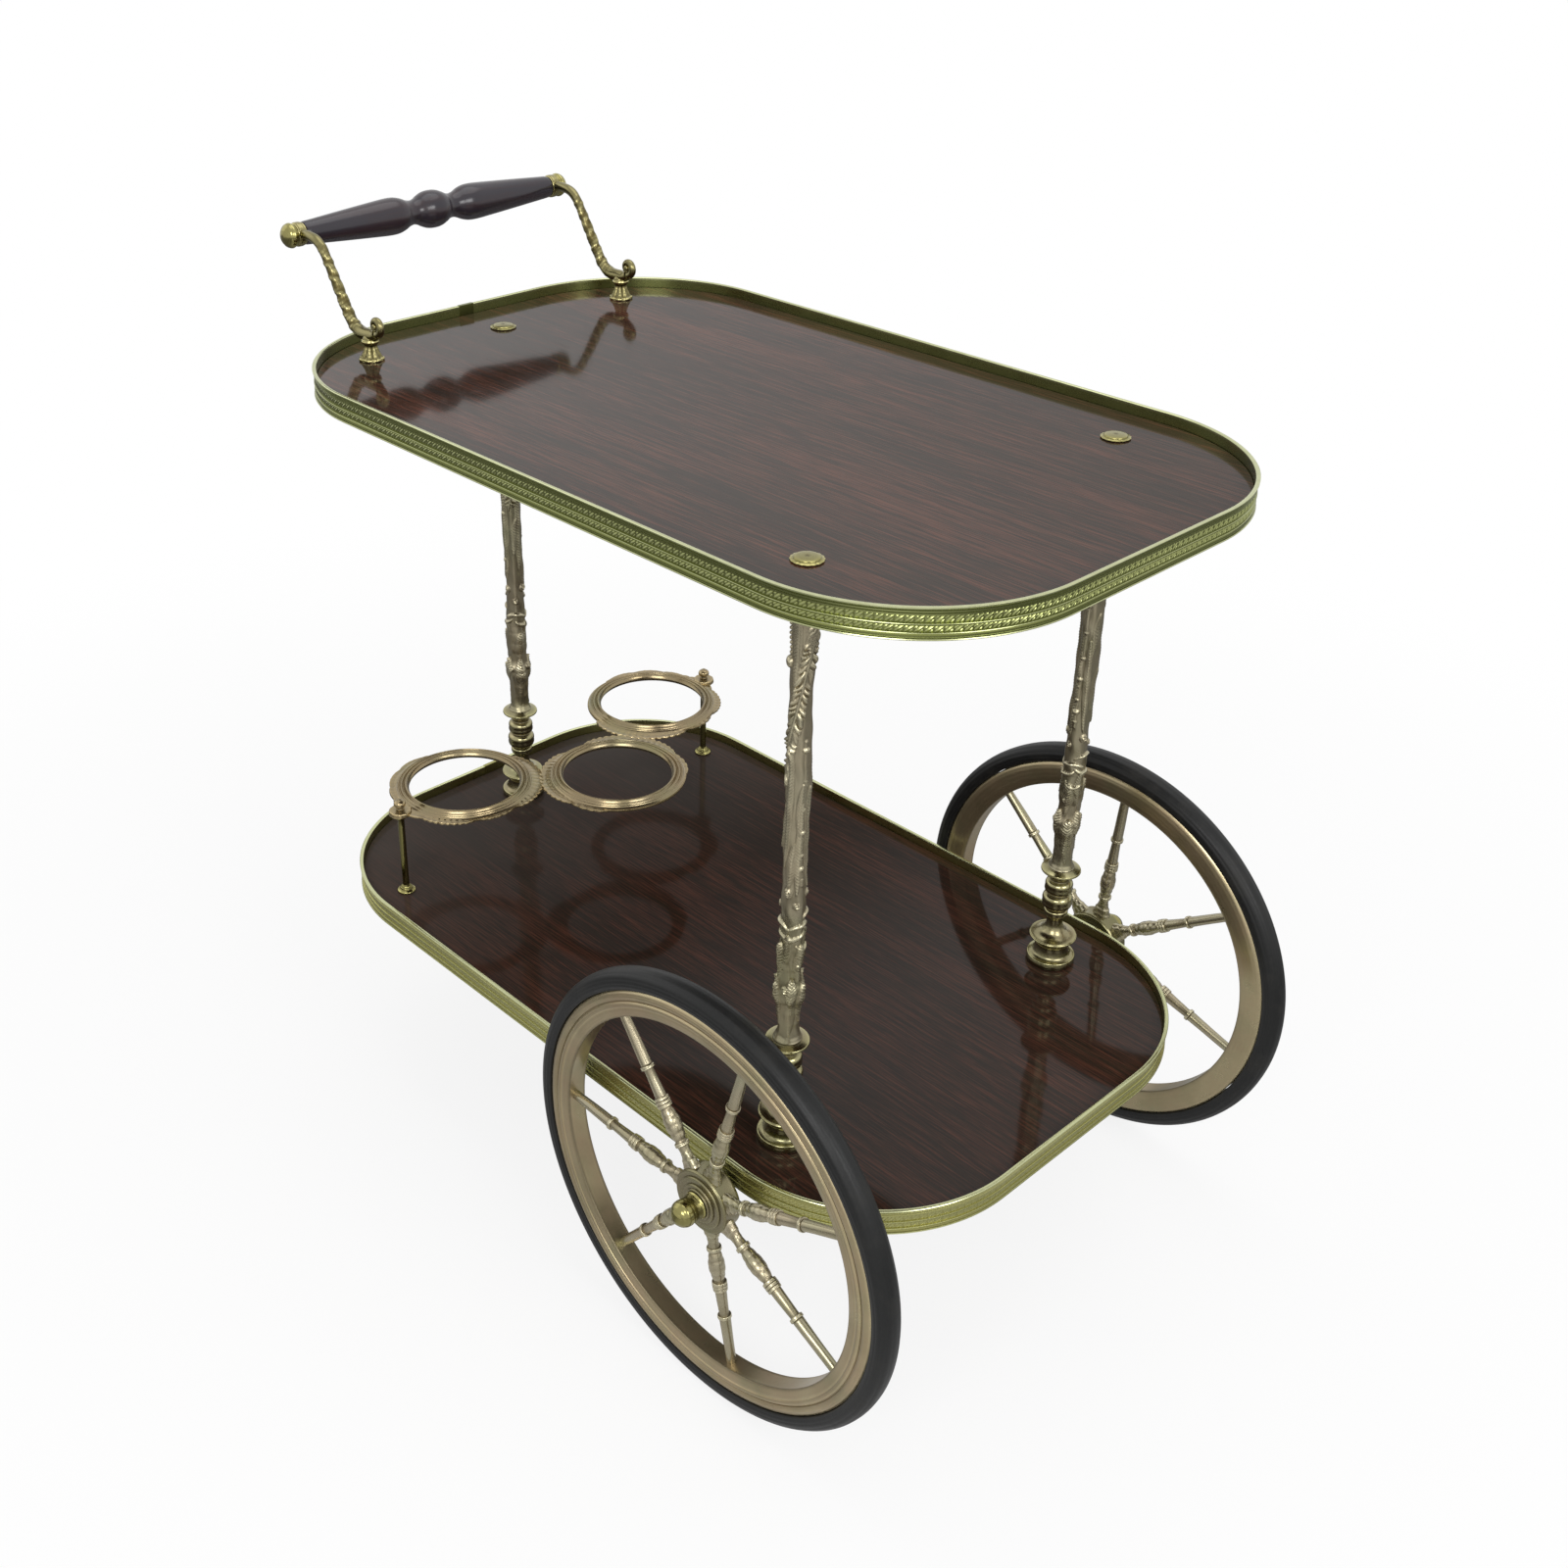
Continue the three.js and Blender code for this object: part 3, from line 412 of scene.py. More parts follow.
def finish(key):
    """The named finish, made once."""
    name = "finish_" + key
    if name in bpy.data.materials:
        return bpy.data.materials[name]
    c = bpy.context.scene.cart_colours
    # A metal is its colour, a darker colour painted as shade in recesses and a lighter one painted as
    # highlight on crests.
    makers = {
        "antique_brass": lambda: metal_finish(
            name, c.antique_brass, c.antique_recess_shade, lighter(c.antique_brass, 1.8), 0.18, 0.02 * MM,
            c.antique_blush, c.antique_olive, 0.84,
        ),
        "ring_brass": lambda: metal_finish(
            name, c.ring_brass, c.antique_recess_shade, lighter(c.ring_brass, 1.6), 0.14, 0.012 * MM,
            lighter(c.antique_blush, 0.72), lighter(c.antique_olive, 0.85), 0.85,
        ),
        "foot_brass": lambda: metal_finish(
            name, c.foot_brass, c.antique_recess_shade, lighter(c.foot_brass, 1.8), 0.15, 0.02 * MM,
            lighter(c.antique_blush, 0.8), c.antique_olive,
        ),
        "hub_brass": lambda: metal_finish(
            name, lighter(c.foot_brass, 0.7), c.antique_recess_shade, lighter(c.foot_brass, 1.4), 0.18,
            0.02 * MM, lighter(c.antique_blush, 0.6), lighter(c.antique_olive, 0.7), 0.85,
        ),
        "wheel_brass": lambda: metal_finish(
            name, c.wheel_brass, c.antique_recess_shade, lighter(c.wheel_brass, 1.9), 0.24, 0.03 * MM,
            c.wheel_blush, lighter(c.antique_olive, 0.6), 0.8,
        ),
        "gallery_brass": lambda: metal_finish(
            name, c.gallery_brass, c.gallery_recess_shade, c.gallery_lip_highlight, 0.17, 0.012 * MM
        ),
        # The lower gallery's lighter copy of the brass: a painted sheen.
        "sunny_gallery": lambda: metal_finish(
            name, c.gallery_sheen, lighter(c.gallery_sheen, 0.45), c.gallery_lip_highlight, 0.2, 0.012 * MM
        ),
        "polished_brass": lambda: metal_finish(
            name, c.polished_brass, c.polished_recess_shade, lighter(c.polished_brass, 1.7), 0.13, 0.012 * MM
        ),
        "arm_brass": lambda: metal_finish(
            name, c.arm_brass, c.polished_recess_shade, lighter(c.arm_brass, 2.3), 0.17, 0.02 * MM
        ),
        "plain_steel": lambda: metal_finish(
            name, c.steel, lighter(c.steel, 0.4), lighter(c.steel, 1.4), 0.34, 0.06 * MM
        ),
        "rosewood_board": lambda: wood_finish(
            name, c.rosewood, c.rosewood_streak, c.rosewood_pore, 0.045, 0.075, UPPER_POLISH, 0.0
        ),
        # A darker copy of the rosewood: painted shade on the lower board, under the upper one. Its grey
        # dust and duller polish are its own.
        "worn_rosewood": lambda: wood_finish(
            name, lighter(c.rosewood, 0.84), lighter(c.rosewood_streak, 0.8), c.rosewood_pore,
            0.06, 0.03, LOWER_POLISH, 0.7,
        ),
        "dark_grip_wood": lambda: grip_finish(name, c.grip_wood, c.grip_streak),
        "black_rubber": lambda: rubber_finish(name, c.rubber),
    }
    return makers[key]()


# Skins


class Skin:
    """Points and faces, and at each point how deep in a recess and how high on a crest it lies, which
    the finishes paint as shade and highlight.
    """

    def __init__(self, points, faces, recess=None, crest=None):
        self.points = np.asarray(points, float).reshape(-1, 3)
        self.faces = faces
        count = len(self.points)
        self.recess = np.zeros(count) if recess is None else np.clip(np.ravel(recess), 0, 1)
        self.crest = np.zeros(count) if crest is None else np.clip(np.ravel(crest), 0, 1)

    def moved(self, matrix):
        turn = np.array(matrix.to_3x3())
        points = self.points @ turn.T + np.array(matrix.translation)
        return Skin(points, self.faces, self.recess, self.crest)


def shifted(*place):
    return Matrix.Translation(Vector(place))


def joined(skins):
    faces = []
    start = 0
    for skin in skins:
        faces += [[corner + start for corner in face] for face in skin.faces]
        start += len(skin.points)
    return Skin(
        np.concatenate([skin.points for skin in skins]), faces,
        np.concatenate([skin.recess for skin in skins]), np.concatenate([skin.crest for skin in skins]),
    )


def woven(grid, recess=None, crest=None, closed=False):
    """A skin over rings of points. Rings that don't close on the first get a lid at both ends."""
    rows, sides = grid.shape[:2]
    index = np.arange(rows * sides).reshape(rows, sides)
    last = rows if closed else rows - 1
    upper = np.roll(index, -1, axis=0)[:last]
    lower = index[:last]
    around = [lower, np.roll(lower, -1, axis=1), np.roll(upper, -1, axis=1), upper]
    faces = np.stack(around, axis=-1).reshape(-1, 4).tolist()
    points = grid.reshape(-1, 3)
    depth = np.zeros((rows, sides)) if recess is None else np.broadcast_to(recess, (rows, sides))
    height = np.zeros((rows, sides)) if crest is None else np.broadcast_to(crest, (rows, sides))
    if closed:
        return Skin(points, faces, depth, height)
    points = np.concatenate([points, grid[[0, -1]].mean(axis=1)])
    for ring, middle in ((index[0][::-1], rows * sides), (index[-1], rows * sides + 1)):
        faces += [[int(a), int(b), middle] for a, b in zip(ring, np.roll(ring, -1))]
    lids = [[depth[0].mean(), depth[-1].mean()], [height[0].mean(), height[-1].mean()]]
    return Skin(
        points, faces,
        np.concatenate([depth.ravel(), lids[0]]), np.concatenate([height.ravel(), lids[1]]),
    )


def drawn(outline):
    """Fills in an outline of (height, radius, bulge). A bulge bows its stretch by that share of it."""
    points = [tuple(outline[0][:2])]
    for before, after in zip(outline, outline[1:]):
        bulge = after[2] if len(after) > 2 else 0
        run, rise = after[0] - before[0], after[1] - before[1]
        steps = 8 if bulge else max(1, int(math.hypot(run, rise) / 6))
        for step in range(1, steps + 1):
            share = step / steps
            bow = bulge * 4 * share * (1 - share)
            points.append((before[0] + run * share - rise * bow, before[1] + rise * share + run * bow))
    return np.array(points)


def grooves(profile, reach, depth):
    """How deep each point of an outline lies below its neighbours, and how far it stands above them:
    where a skin's painted shade and painted highlight go.
    """
    along = np.concatenate([[0], np.cumsum(np.hypot(*np.diff(profile, axis=0).T))])
    radius = profile[:, 1]
    around = (np.interp(along - reach, along, radius) + np.interp(along + reach, along, radius)) / 2
    below = (around - radius) / depth
    return np.clip(below, 0, 1), np.clip(-below, 0, 1)


def turned(outline, sides, scale=MM, closed=False, relief=None, reach=2.4, depth=1.1):
    """A skin turned about Z. A relief adds to the radius, in the outline's own units, and shades it."""
    profile = drawn(outline + [outline[0]] if closed else outline)
    if closed:
        profile = profile[:-1]
    angles = np.arange(sides) * FULL_TURN / sides
    heights, turns = np.meshgrid(profile[:, 0], angles, indexing="ij")
    radius = np.repeat(profile[:, 1:], sides, axis=1)
    recess, crest = (np.repeat(part[:, None], sides, axis=1) for part in grooves(profile, reach, depth))
    if relief is not None:
        added, recess, crest = relief(heights, turns, recess, crest)
        radius = radius + added
    grid = np.stack([radius * np.cos(turns), radius * np.sin(turns), heights], axis=-1) * scale
    return woven(grid, recess, crest, closed)


def mesh_of(name, skin):
    """A plain mesh with merged points, faces outwards, and smooth shading up to sharp edges."""
    mesh = bpy.data.meshes.new(name)
    mesh.from_pydata(skin.points.tolist(), [], skin.faces)
    # The masks of painted shade and painted highlight go along as attributes.
    for layer, values in (("recess", skin.recess), ("crest", skin.crest)):
        attribute = mesh.attributes.new(layer, "FLOAT", "POINT")
        attribute.data.foreach_set("value", values.astype(np.float32))
    work = bmesh.new()
    work.from_mesh(mesh)
    bmesh.ops.remove_doubles(work, verts=work.verts, dist=0.002 * MM)
    bmesh.ops.recalc_face_normals(work, faces=work.faces)
    work.to_mesh(mesh)
    work.free()
    smooth(mesh)
    return mesh


def smooth(mesh):
    mesh.polygons.foreach_set("use_smooth", [True] * len(mesh.polygons))
    mesh.set_sharp_from_angle(angle=SHARP_ANGLE)
    mesh.update()


def new_object(name, mesh):
    piece = bpy.data.objects.new(name, mesh)
    bpy.context.scene.collection.objects.link(piece)
    return piece


def dress(name, skins, slot, body, *nodes, look=None):
    """A new piece from skins, in place of CAD nodes. A look is a variant of the slot's finish."""
    piece = new_object(name, mesh_of(name, joined(skins)))
    piece.data.materials.append(finish(look or slot))
    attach(piece, body)
    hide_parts(*nodes)


def refinish(slot, *nodes):
    """A CAD node keeps its shape and gets its finish."""
    for node in nodes:
        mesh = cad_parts[node].data
        mesh.materials.clear()
        mesh.materials.append(finish(slot))


# Geometry Nodes


def tree_inputs(graph, sockets):
    """Declares a tree's inputs and gives their wires by name."""
    graph.socket("Geometry", "NodeSocketGeometry", inwards=False)
    for name, kind in sockets:
        graph.socket(name, "NodeSocket" + kind)
    node = graph.tree.nodes.new("NodeGroupInput")
    return {name: Wire(graph, node.outputs[name]) for name, _ in sockets}


def tree_end(graph, geometry, material):
    """Ends a tree in real geometry with its material."""
    real = graph.add("GeometryNodeRealizeInstances", {}, {"Geometry": geometry})
    done = graph.add("GeometryNodeSetMaterial", {}, {"Geometry": real, "Material": material})
    graph.add("NodeGroupOutput", {}, {"Geometry": done})
    return graph.tree


def copies_tree():
    """Copies of a piece, turned step by step about an axis."""
    if "copies_round_axis" in bpy.data.node_groups:
        return bpy.data.node_groups["copies_round_axis"]
    graph = Graph(bpy.data.node_groups.new("copies_round_axis", "GeometryNodeTree"))
    given = tree_inputs(graph, [
        ("Geometry", "Geometry"), ("Count", "Int"), ("First Angle", "Float"), ("Step", "Float"),
        ("Axis", "Vector"), ("Centre", "Vector"), ("Material", "Material"),
    ])
    index = graph.add("GeometryNodeInputIndex")
    angle = given["First Angle"] + given["Step"] * index
    turn = graph.add(
        "FunctionNodeAxisAngleToRotation", {}, {"Axis": given["Axis"], "Angle": angle}
    )
    points = graph.add(
        "GeometryNodePoints", {}, {"Count": given["Count"], "Position": given["Centre"]}
    )
    turned_copies = graph.add(
        "GeometryNodeInstanceOnPoints", {},
        {"Points": points, "Instance": given["Geometry"], "Rotation": turn},
    )
    return tree_end(graph, turned_copies, given["Material"])


def strip_tree():
    """A strip swept along a path, with two rows of stamps on its outer face."""
    if "stamped_strip" in bpy.data.node_groups:
        return bpy.data.node_groups["stamped_strip"]
    graph = Graph(bpy.data.node_groups.new("stamped_strip", "GeometryNodeTree"))
    given = tree_inputs(graph, [
        ("Geometry", "Geometry"), ("Section", "Object"), ("Stamp", "Object"), ("Stamps", "Int"),
        ("Upper Row", "Float"), ("Lower Row", "Float"), ("Lower Size", "Float"), ("Outset", "Float"),
        ("Material", "Material"),
    ])
    path = graph.add("GeometryNodeMeshToCurve", {}, {"Mesh": given["Geometry"]})
    level = graph.add("GeometryNodeSetCurveNormal", {"mode": "Z_UP"}, {"Curve": path})
    section = graph.add("GeometryNodeObjectInfo", {}, {"Object": given["Section"]}, output="Geometry")
    outline = graph.add("GeometryNodeMeshToCurve", {}, {"Mesh": section})
    strip = graph.add("GeometryNodeCurveToMesh", {}, {"Curve": level, "Profile Curve": outline})
    stamp = graph.add("GeometryNodeObjectInfo", {}, {"Object": given["Stamp"]}, output="Geometry")
    spots = graph.add(
        "GeometryNodeCurveToPoints", {"mode": "COUNT"}, {"Curve": path, "Count": given["Stamps"]}
    )
    tangent = Wire(graph, spots.socket.node.outputs["Tangent"])
    outward = graph.add(
        "ShaderNodeVectorMath", {"operation": "CROSS_PRODUCT"}, {0: tangent, 1: (0.0, 0.0, 1.0)}
    )
    push = graph.add(
        "ShaderNodeVectorMath", {"operation": "SCALE"}, {"Vector": outward, "Scale": given["Outset"]}
    )
    turn = graph.add(
        "FunctionNodeAlignRotationToVector", {"axis": "Y", "pivot_axis": "Z"}, {"Vector": tangent}
    )
    rows = [strip]
    for row, size in (("Upper Row", 1.0), ("Lower Row", given["Lower Size"])):
        up = graph.add("ShaderNodeCombineXYZ", {}, {"Z": given[row]})
        offset = graph.add("ShaderNodeVectorMath", {"operation": "ADD"}, {0: push, 1: up})
        placed = graph.add("GeometryNodeSetPosition", {}, {"Geometry": spots, "Offset": offset})
        tall = graph.add("ShaderNodeCombineXYZ", {}, {"X": 1.0, "Y": 1.0, "Z": size})
        rows.append(graph.add("GeometryNodeInstanceOnPoints", {}, {
            "Points": placed, "Instance": stamp, "Rotation": turn, "Scale": tall,
        }))
    whole = graph.tree.nodes.new("GeometryNodeJoinGeometry")
    for wire in rows:
        graph.tree.links.new(wire.socket, whole.inputs[0])
    return tree_end(graph, Wire(graph, whole.outputs[0]), given["Material"])


def grown(name, base, tree, values, helpers=()):
    """Runs a tree on a base mesh and keeps the result as one plain mesh."""
    piece = new_object(name, base)
    modifier = piece.modifiers.new(tree.name, "NODES")
    modifier.node_group = tree
    for item in tree.interface.items_tree:
        if item.in_out == "INPUT" and item.name in values:
            modifier[item.identifier] = values[item.name]
    bpy.context.view_layer.update()
    evaluated = piece.evaluated_get(bpy.context.evaluated_depsgraph_get())
    mesh = bpy.data.meshes.new_from_object(evaluated)
    piece.modifiers.remove(modifier)
    piece.data = mesh
    mesh.name = name
    for helper in helpers:
        bpy.data.objects.remove(helper)
    if not len(mesh.polygons):
        raise RuntimeError(name + " came out empty")
    return piece


def skin_of(piece):
    """Takes a helper object's mesh back as a skin, and removes the object."""
    mesh = piece.data
    points = np.zeros(3 * len(mesh.vertices), np.float32)
    mesh.vertices.foreach_get("co", points)
    layers = []
    for layer in ("recess", "crest"):
        values = np.zeros(len(mesh.vertices), np.float32)
        mesh.attributes[layer].data.foreach_get("value", values)
        layers.append(values)
    faces = [list(polygon.vertices) for polygon in mesh.polygons]
    bpy.data.objects.remove(piece)
    return Skin(points, faces, *layers)


def copies(name, skin, count, first, step, axis, centre):
    """Copies of a skin about an axis through a centre, as one skin."""
    values = {
        "Count": count, "First Angle": first, "Step": step, "Axis": axis, "Centre": centre,
        "Material": finish("antique_brass"),
    }
    return skin_of(grown(name, mesh_of(name, skin), copies_tree(), values))


# Where CAD nodes are


def spot(node):
    """Middle, size, lowest and highest corner of a CAD node."""
    low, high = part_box(node)
    return (low + high) / 2, high - low, low, high


def middle_of(node):
    return spot(node)[0]


def stood(outline, node, sides, **more):
    """An upright turning whose outline is fitted to the node's height, on the node's own axis."""
    middle, size, low, _ = spot(node)
    drawn_height = max(p[0] for p in outline) - min(p[0] for p in outline)
    scale = size.z / drawn_height
    foot = low.z - min(p[0] for p in outline) * scale
    return turned(outline, sides, scale=scale, **more).moved(shifted(middle.x, middle.y, foot))


def sideways(sign):
    """Turns the Z axis outwards along Y on that side."""
    return Matrix.Rotation(-sign * math.pi / 2, 4, "X")


# Trays

CORNER_SHARE = 0.312
CORNER_STEPS = 40
BOARD_INSET = 2.9 * MM
# The board's eased edge from its foot up: shares of its thickness inwards and upwards.
BOARD_EDGE_SHARES = (
    (0.18, 0.0), (0.10, 0.0), (0.03, 0.02), (0.0, 0.09),
    (0.0, 0.93), (0.02, 0.98), (0.07, 1.0), (0.15, 1.0),
)
# The lower board takes a darker copy of the rosewood: painted shade, with its own dust.
BOARD_LOOKS = {"upper": "rosewood_board", "lower": "worn_rosewood"}


def tray_path(node, inset):
    """Points round a tray's outline, inset from the node's box."""
    middle, size, _, _ = spot(node)
    half = np.array([size.x / 2, size.y / 2])
    radius = CORNER_SHARE * size.y
    corner = half - radius
    points = []
    for quarter, (sign_x, sign_y) in enumerate(QUARTERS):
        for step in range(CORNER_STEPS + 1):
            angle = (quarter + step / CORNER_STEPS) * math.pi / 2
            out = np.array([math.cos(angle), math.sin(angle)])
            points.append(np.array([sign_x, sign_y]) * corner + out * (radius - inset))
    return np.array(points) + np.array([middle.x, middle.y])


def board_skin(board, gallery):
    """A lacquered board with eased edges, inside its gallery."""
    _, size, low, _ = spot(board)
    rows = []
    for in_share, up_share in BOARD_EDGE_SHARES:
        points = tray_path(gallery, BOARD_INSET + in_share * size.z)
        rows.append(np.column_stack([points, np.full(len(points), low.z + up_share * size.z)]))
    return woven(np.array(rows))


# The gallery's section, from its foot up the outer face and down the inner one: millimetres out from
# the inner face and down from the lip, then how much painted shade and how much painted highlight it
# gets.
GALLERY_SECTION = (
    (0.0, 20.6, 0.3, 0), (2.1, 20.6, 0, 0), (2.5, 20.45, 0, 0.3), (2.8, 19.95, 0, 0.9),
    (2.55, 19.4, 0, 0.5), (1.75, 19.15, 0.9, 0), (1.55, 18.75, 0.8, 0), (1.85, 18.5, 0, 0.1),
    (1.85, 16.75, 0, 0), (1.7, 16.5, 0.7, 0), (2.3, 16.25, 0, 0.7), (2.4, 16.0, 0, 0.8),
    (2.25, 15.7, 0, 0.3), (1.55, 15.5, 0.4, 0), (1.5, 13.6, 0.15, 0), (1.5, 11.75, 0.4, 0),
    (1.4, 11.45, 1, 0), (1.4, 11.1, 1, 0), (2.2, 10.85, 0, 0.6), (2.4, 10.55, 0, 0.9),
    (2.25, 10.2, 0, 0.3), (1.55, 9.95, 0.4, 0), (1.5, 7.7, 0.15, 0), (1.55, 5.5, 0.4, 0),
    (2.1, 5.2, 0, 0.3), (2.15, 4.3, 0, 0.1), (1.75, 4.05, 1, 0), (1.7, 3.7, 1, 0),
    (2.2, 3.45, 0, 0.2), (2.25, 2.6, 0, 0.2), (1.85, 2.35, 1, 0), (1.8, 1.95, 0.9, 0),
    (2.45, 1.6, 0, 0.3), (2.9, 1.05, 0, 0.9), (2.94, 0.5, 0, 1), (2.6, 0.1, 0, 1), (1.2, 0.0, 0, 1),
    (0.4, 0.15, 0, 1), (0.0, 0.6, 0, 0.8), (0.0, 2.4, 0.1, 0.1), (0.0, 12.0, 0.2, 0),
)
# One stamp: outline and ridge of two crossed leaves, as shares of the pitch along, of the row up and
# of how proud it stands.
STAMP_LEAVES = (
    ((-0.48, -0.50), (-0.10, -0.42), (0.36, 0.10), (0.50, 0.50), (0.12, 0.42), (-0.36, -0.08), 1.0),
    ((0.04, -0.50), (0.30, -0.50), (0.52, -0.26), (0.46, 0.04), (0.26, -0.06), (0.06, -0.30), 0.8),
    ((-0.52, 0.06), (-0.34, -0.04), (-0.10, 0.18), (-0.04, 0.48), (-0.28, 0.50), (-0.50, 0.30), 0.8),
)
UPPER_ROW_DEPTH = 7.72 * MM
LOWER_ROW_DEPTH = 13.62 * MM
ROW_HEIGHT = 4.3 * MM
LOWER_ROW_SHARE = 0.86
ROW_FLOOR = 1.5 * MM
RIDGE_SHARE = 0.55
GALLERY_DEPTH = 2.8 * MM
# The lower gallery takes a lighter copy of the gallery brass, a painted sheen.
GALLERY_LOOKS = {"upper": "gallery_brass", "lower": "sunny_gallery"}
STAMP_WEAR_SHARES = {"upper": 1.0, "lower": 0.5}
# The sleeve over the seam, round its section: millimetres out from the gallery's inner face, the share
# of its height, and which way it swells.
SLEEVE_SECTION = (
    (-0.3, 0.55, -1), (2.62, 0.0, 1), (2.75, 0.03, 1),
    (2.75, 0.985, 1), (2.62, 1.01, 1), (-0.3, 1.01, -1),
)
SLEEVE_SWELL = 0.16 * MM
SLEEVE_RINGS = 9


def stamp_skin(pitch, height, proud):
    """Leaves stamped out of the strip: X outwards, Y along, Z up."""
    skins = []
    for *outline, lift in STAMP_LEAVES:
        rim = [(0.0, y * pitch, z * height) for y, z in outline]
        middle = np.mean(rim, axis=0)
        ends = [middle + (np.array(rim[corner]) - middle) * RIDGE_SHARE for corner in (0, 3)]
        ridge = [(proud * lift, end[1], end[2]) for end in ends]
        faces = [[0, 1, 6], [1, 2, 7, 6], [2, 3, 7], [3, 4, 7], [4, 5, 6, 7], [5, 0, 6]]
        # Painted shade round each leaf's edge and a painted highlight along its ridge.
        skins.append(Skin(rim + ridge, faces, [0.1] * 6 + [0.0] * 2, [0.05] * 6 + [0.35] * 2))
    return joined(skins)


def loop_mesh(name, points, values=None):
    """A closed line of points, for a tree to follow."""
    mesh = bpy.data.meshes.new(name)
    count = len(points)
    edges = [(i, (i + 1) % count) for i in range(count)]
    mesh.from_pydata([tuple(point) for point in points], edges, [])
    for layer, column in (values or {}).items():
        attribute = mesh.attributes.new(layer, "FLOAT", "POINT")
        attribute.data.foreach_set("value", np.asarray(column, np.float32))
    return mesh


def gallery_piece(tray, sizes):
    """A stamped strip round a tray, with a sleeve over its seam."""
    node = tray + "_tray_gallery"
    middle, size, low, high = spot(node)
    points = tray_path(node, GALLERY_DEPTH)
    path = loop_mesh(node + "_path", np.column_stack([points, np.full(len(points), high.z)]))
    out, down, recess, crest = np.array(GALLERY_SECTION).T
    section = np.column_stack([out * MM, down * MM, np.zeros(len(out))])
    shades = {"recess": recess, "crest": crest}
    section_object = new_object("section", loop_mesh("section", section, shades))
    proud = sizes.stamp_proud * STAMP_WEAR_SHARES[tray]
    stamp = mesh_of("stamp", stamp_skin(sizes.stamp_pitch, ROW_HEIGHT, proud))
    stamp_object = new_object("stamp", stamp)
    corner = CORNER_SHARE * size.y
    around = 2 * (size.x + size.y) - 8 * corner + FULL_TURN * corner
    values = {
        "Section": section_object, "Stamp": stamp_object, "Stamps": round(around / sizes.stamp_pitch),
        "Upper Row": -UPPER_ROW_DEPTH, "Lower Row": -LOWER_ROW_DEPTH, "Lower Size": LOWER_ROW_SHARE,
        "Outset": ROW_FLOOR, "Material": finish(GALLERY_LOOKS[tray]),
    }
    helpers = (section_object, stamp_object)
    strip = skin_of(grown("strip_" + tray, path, strip_tree(), values, helpers))
    out, up_share, outwards = np.array(SLEEVE_SECTION).T
    grid = []
    for share in np.linspace(-0.5, 0.5, SLEEVE_RINGS):
        swell = SLEEVE_SWELL * (1 - (2 * share) ** 4)
        grid.append(np.column_stack([
            low.x + GALLERY_DEPTH - (out * MM + outwards * swell),
            np.full(len(out), middle.y + share * sizes.sleeve_length),
            up_share * size.z + low.z,
        ]))
    # Painted shade over the whole sleeve.
    sleeve = woven(np.array(grid), recess=0.35)
    dress(
        "stamped_gallery_" + tray, [strip, sleeve], "gallery_brass", "frame", node,
        look=GALLERY_LOOKS[tray],
    )


class BAR_CART_OT_boards(bpy.types.Operator):
    """Lay the two rosewood boards"""

    bl_idname = "bar_cart.boards"
    bl_label = "Boards"

    def execute(self, context):
        for tray in TRAYS:
            board = tray + "_tray_board"
            skin = board_skin(board, tray + "_tray_gallery")
            dress(
                "lacquered_board_" + tray, [skin], "rosewood_board", "frame", board,
                look=BOARD_LOOKS[tray],
            )
        return {"FINISHED"}


class BAR_CART_OT_galleries(bpy.types.Operator):
    """Bend the stamped galleries round the boards"""

    bl_idname = "bar_cart.galleries"
    bl_label = "Galleries"

    def execute(self, context):
        for tray in TRAYS:
            gallery_piece(tray, context.scene.cart_sizes)
        return {"FINISHED"}


# Posts. Outlines are drawn in millimetres from the bottom: height, radius, bulge.

FOOT_OUTLINE = [
    (0, 17.9), (0.5, 18.4), (1.3, 18.7, 0.15), (5.2, 18.7, 0.1), (6.4, 17.6, 0.25), (7.2, 15.6),
    (9.5, 13.9, -0.1), (15.2, 13.0, -0.04), (19.5, 14.6, -0.1), (22.3, 17.6, -0.1), (23.0, 18.35),
    (24.3, 18.0, 0.2), (25.0, 17.2, 0.3), (25.6, 15.0), (26.9, 11.6, -0.04), (29.8, 8.6, -0.07),
    (34.5, 6.6, -0.06), (40.0, 6.3, -0.03), (43.0, 7.0), (46.1, 9.2, 0.3), (49.0, 7.4, 0.3),
    (49.8, 7.8), (56.6, 11.4, 0.22), (63.2, 8.2, 0.22), (63.8, 8.0), (69.8, 10.5, 0.22),
    (75.9, 7.6, 0.22), (77.4, 7.5, -0.1), (79.5, 9.0, -0.12), (83.8, 13.9, -0.06), (84.4, 14.8),
    (85.5, 15.2, 0.3), (86.4, 14.6, 0.25), (87.0, 12.4), (87.6, 10.6), (88.0, 9.9),
]
COLUMN_OUTLINE = [
    (0, 9.9), (2.2, 8.9, -0.05), (5, 7.8, -0.06), (14, 7.2, -0.04), (24, 7.4, -0.03),
    (32, 8.5, -0.05), (40, 9.2, 0.08), (46, 8.6, 0.08), (52, 7.7, -0.05), (58, 7.6),
    (68, 8.3, 0.05), (78, 7.8, 0.04), (84, 7.6), (98, 7.9, 0.02), (110, 7.7), (122, 7.4),
    (150, 7.1), (176, 7.3), (198, 7.5), (216, 7.6), (240, 7.4), (262, 7.2), (282, 7.6), (300, 7.9),
    (320, 8.2), (340.6, 8.4),
]
CAP_OUTLINE = [
    (0, 9.6), (0.15, 10.0, 0.2), (0.75, 10.1, 0.1), (0.95, 9.2), (1.15, 8.8), (1.2, 8.3),
    (1.75, 8.1, 0.2), (2.15, 7.6, 0.2), (2.4, 6.0, 0.03), (2.6, 0.0, 0.02),
]
# The scallops of a cap: their depth, and the heights between which they lie.
CAP_SCALLOPS = (0.45, 0.1, 1.1)
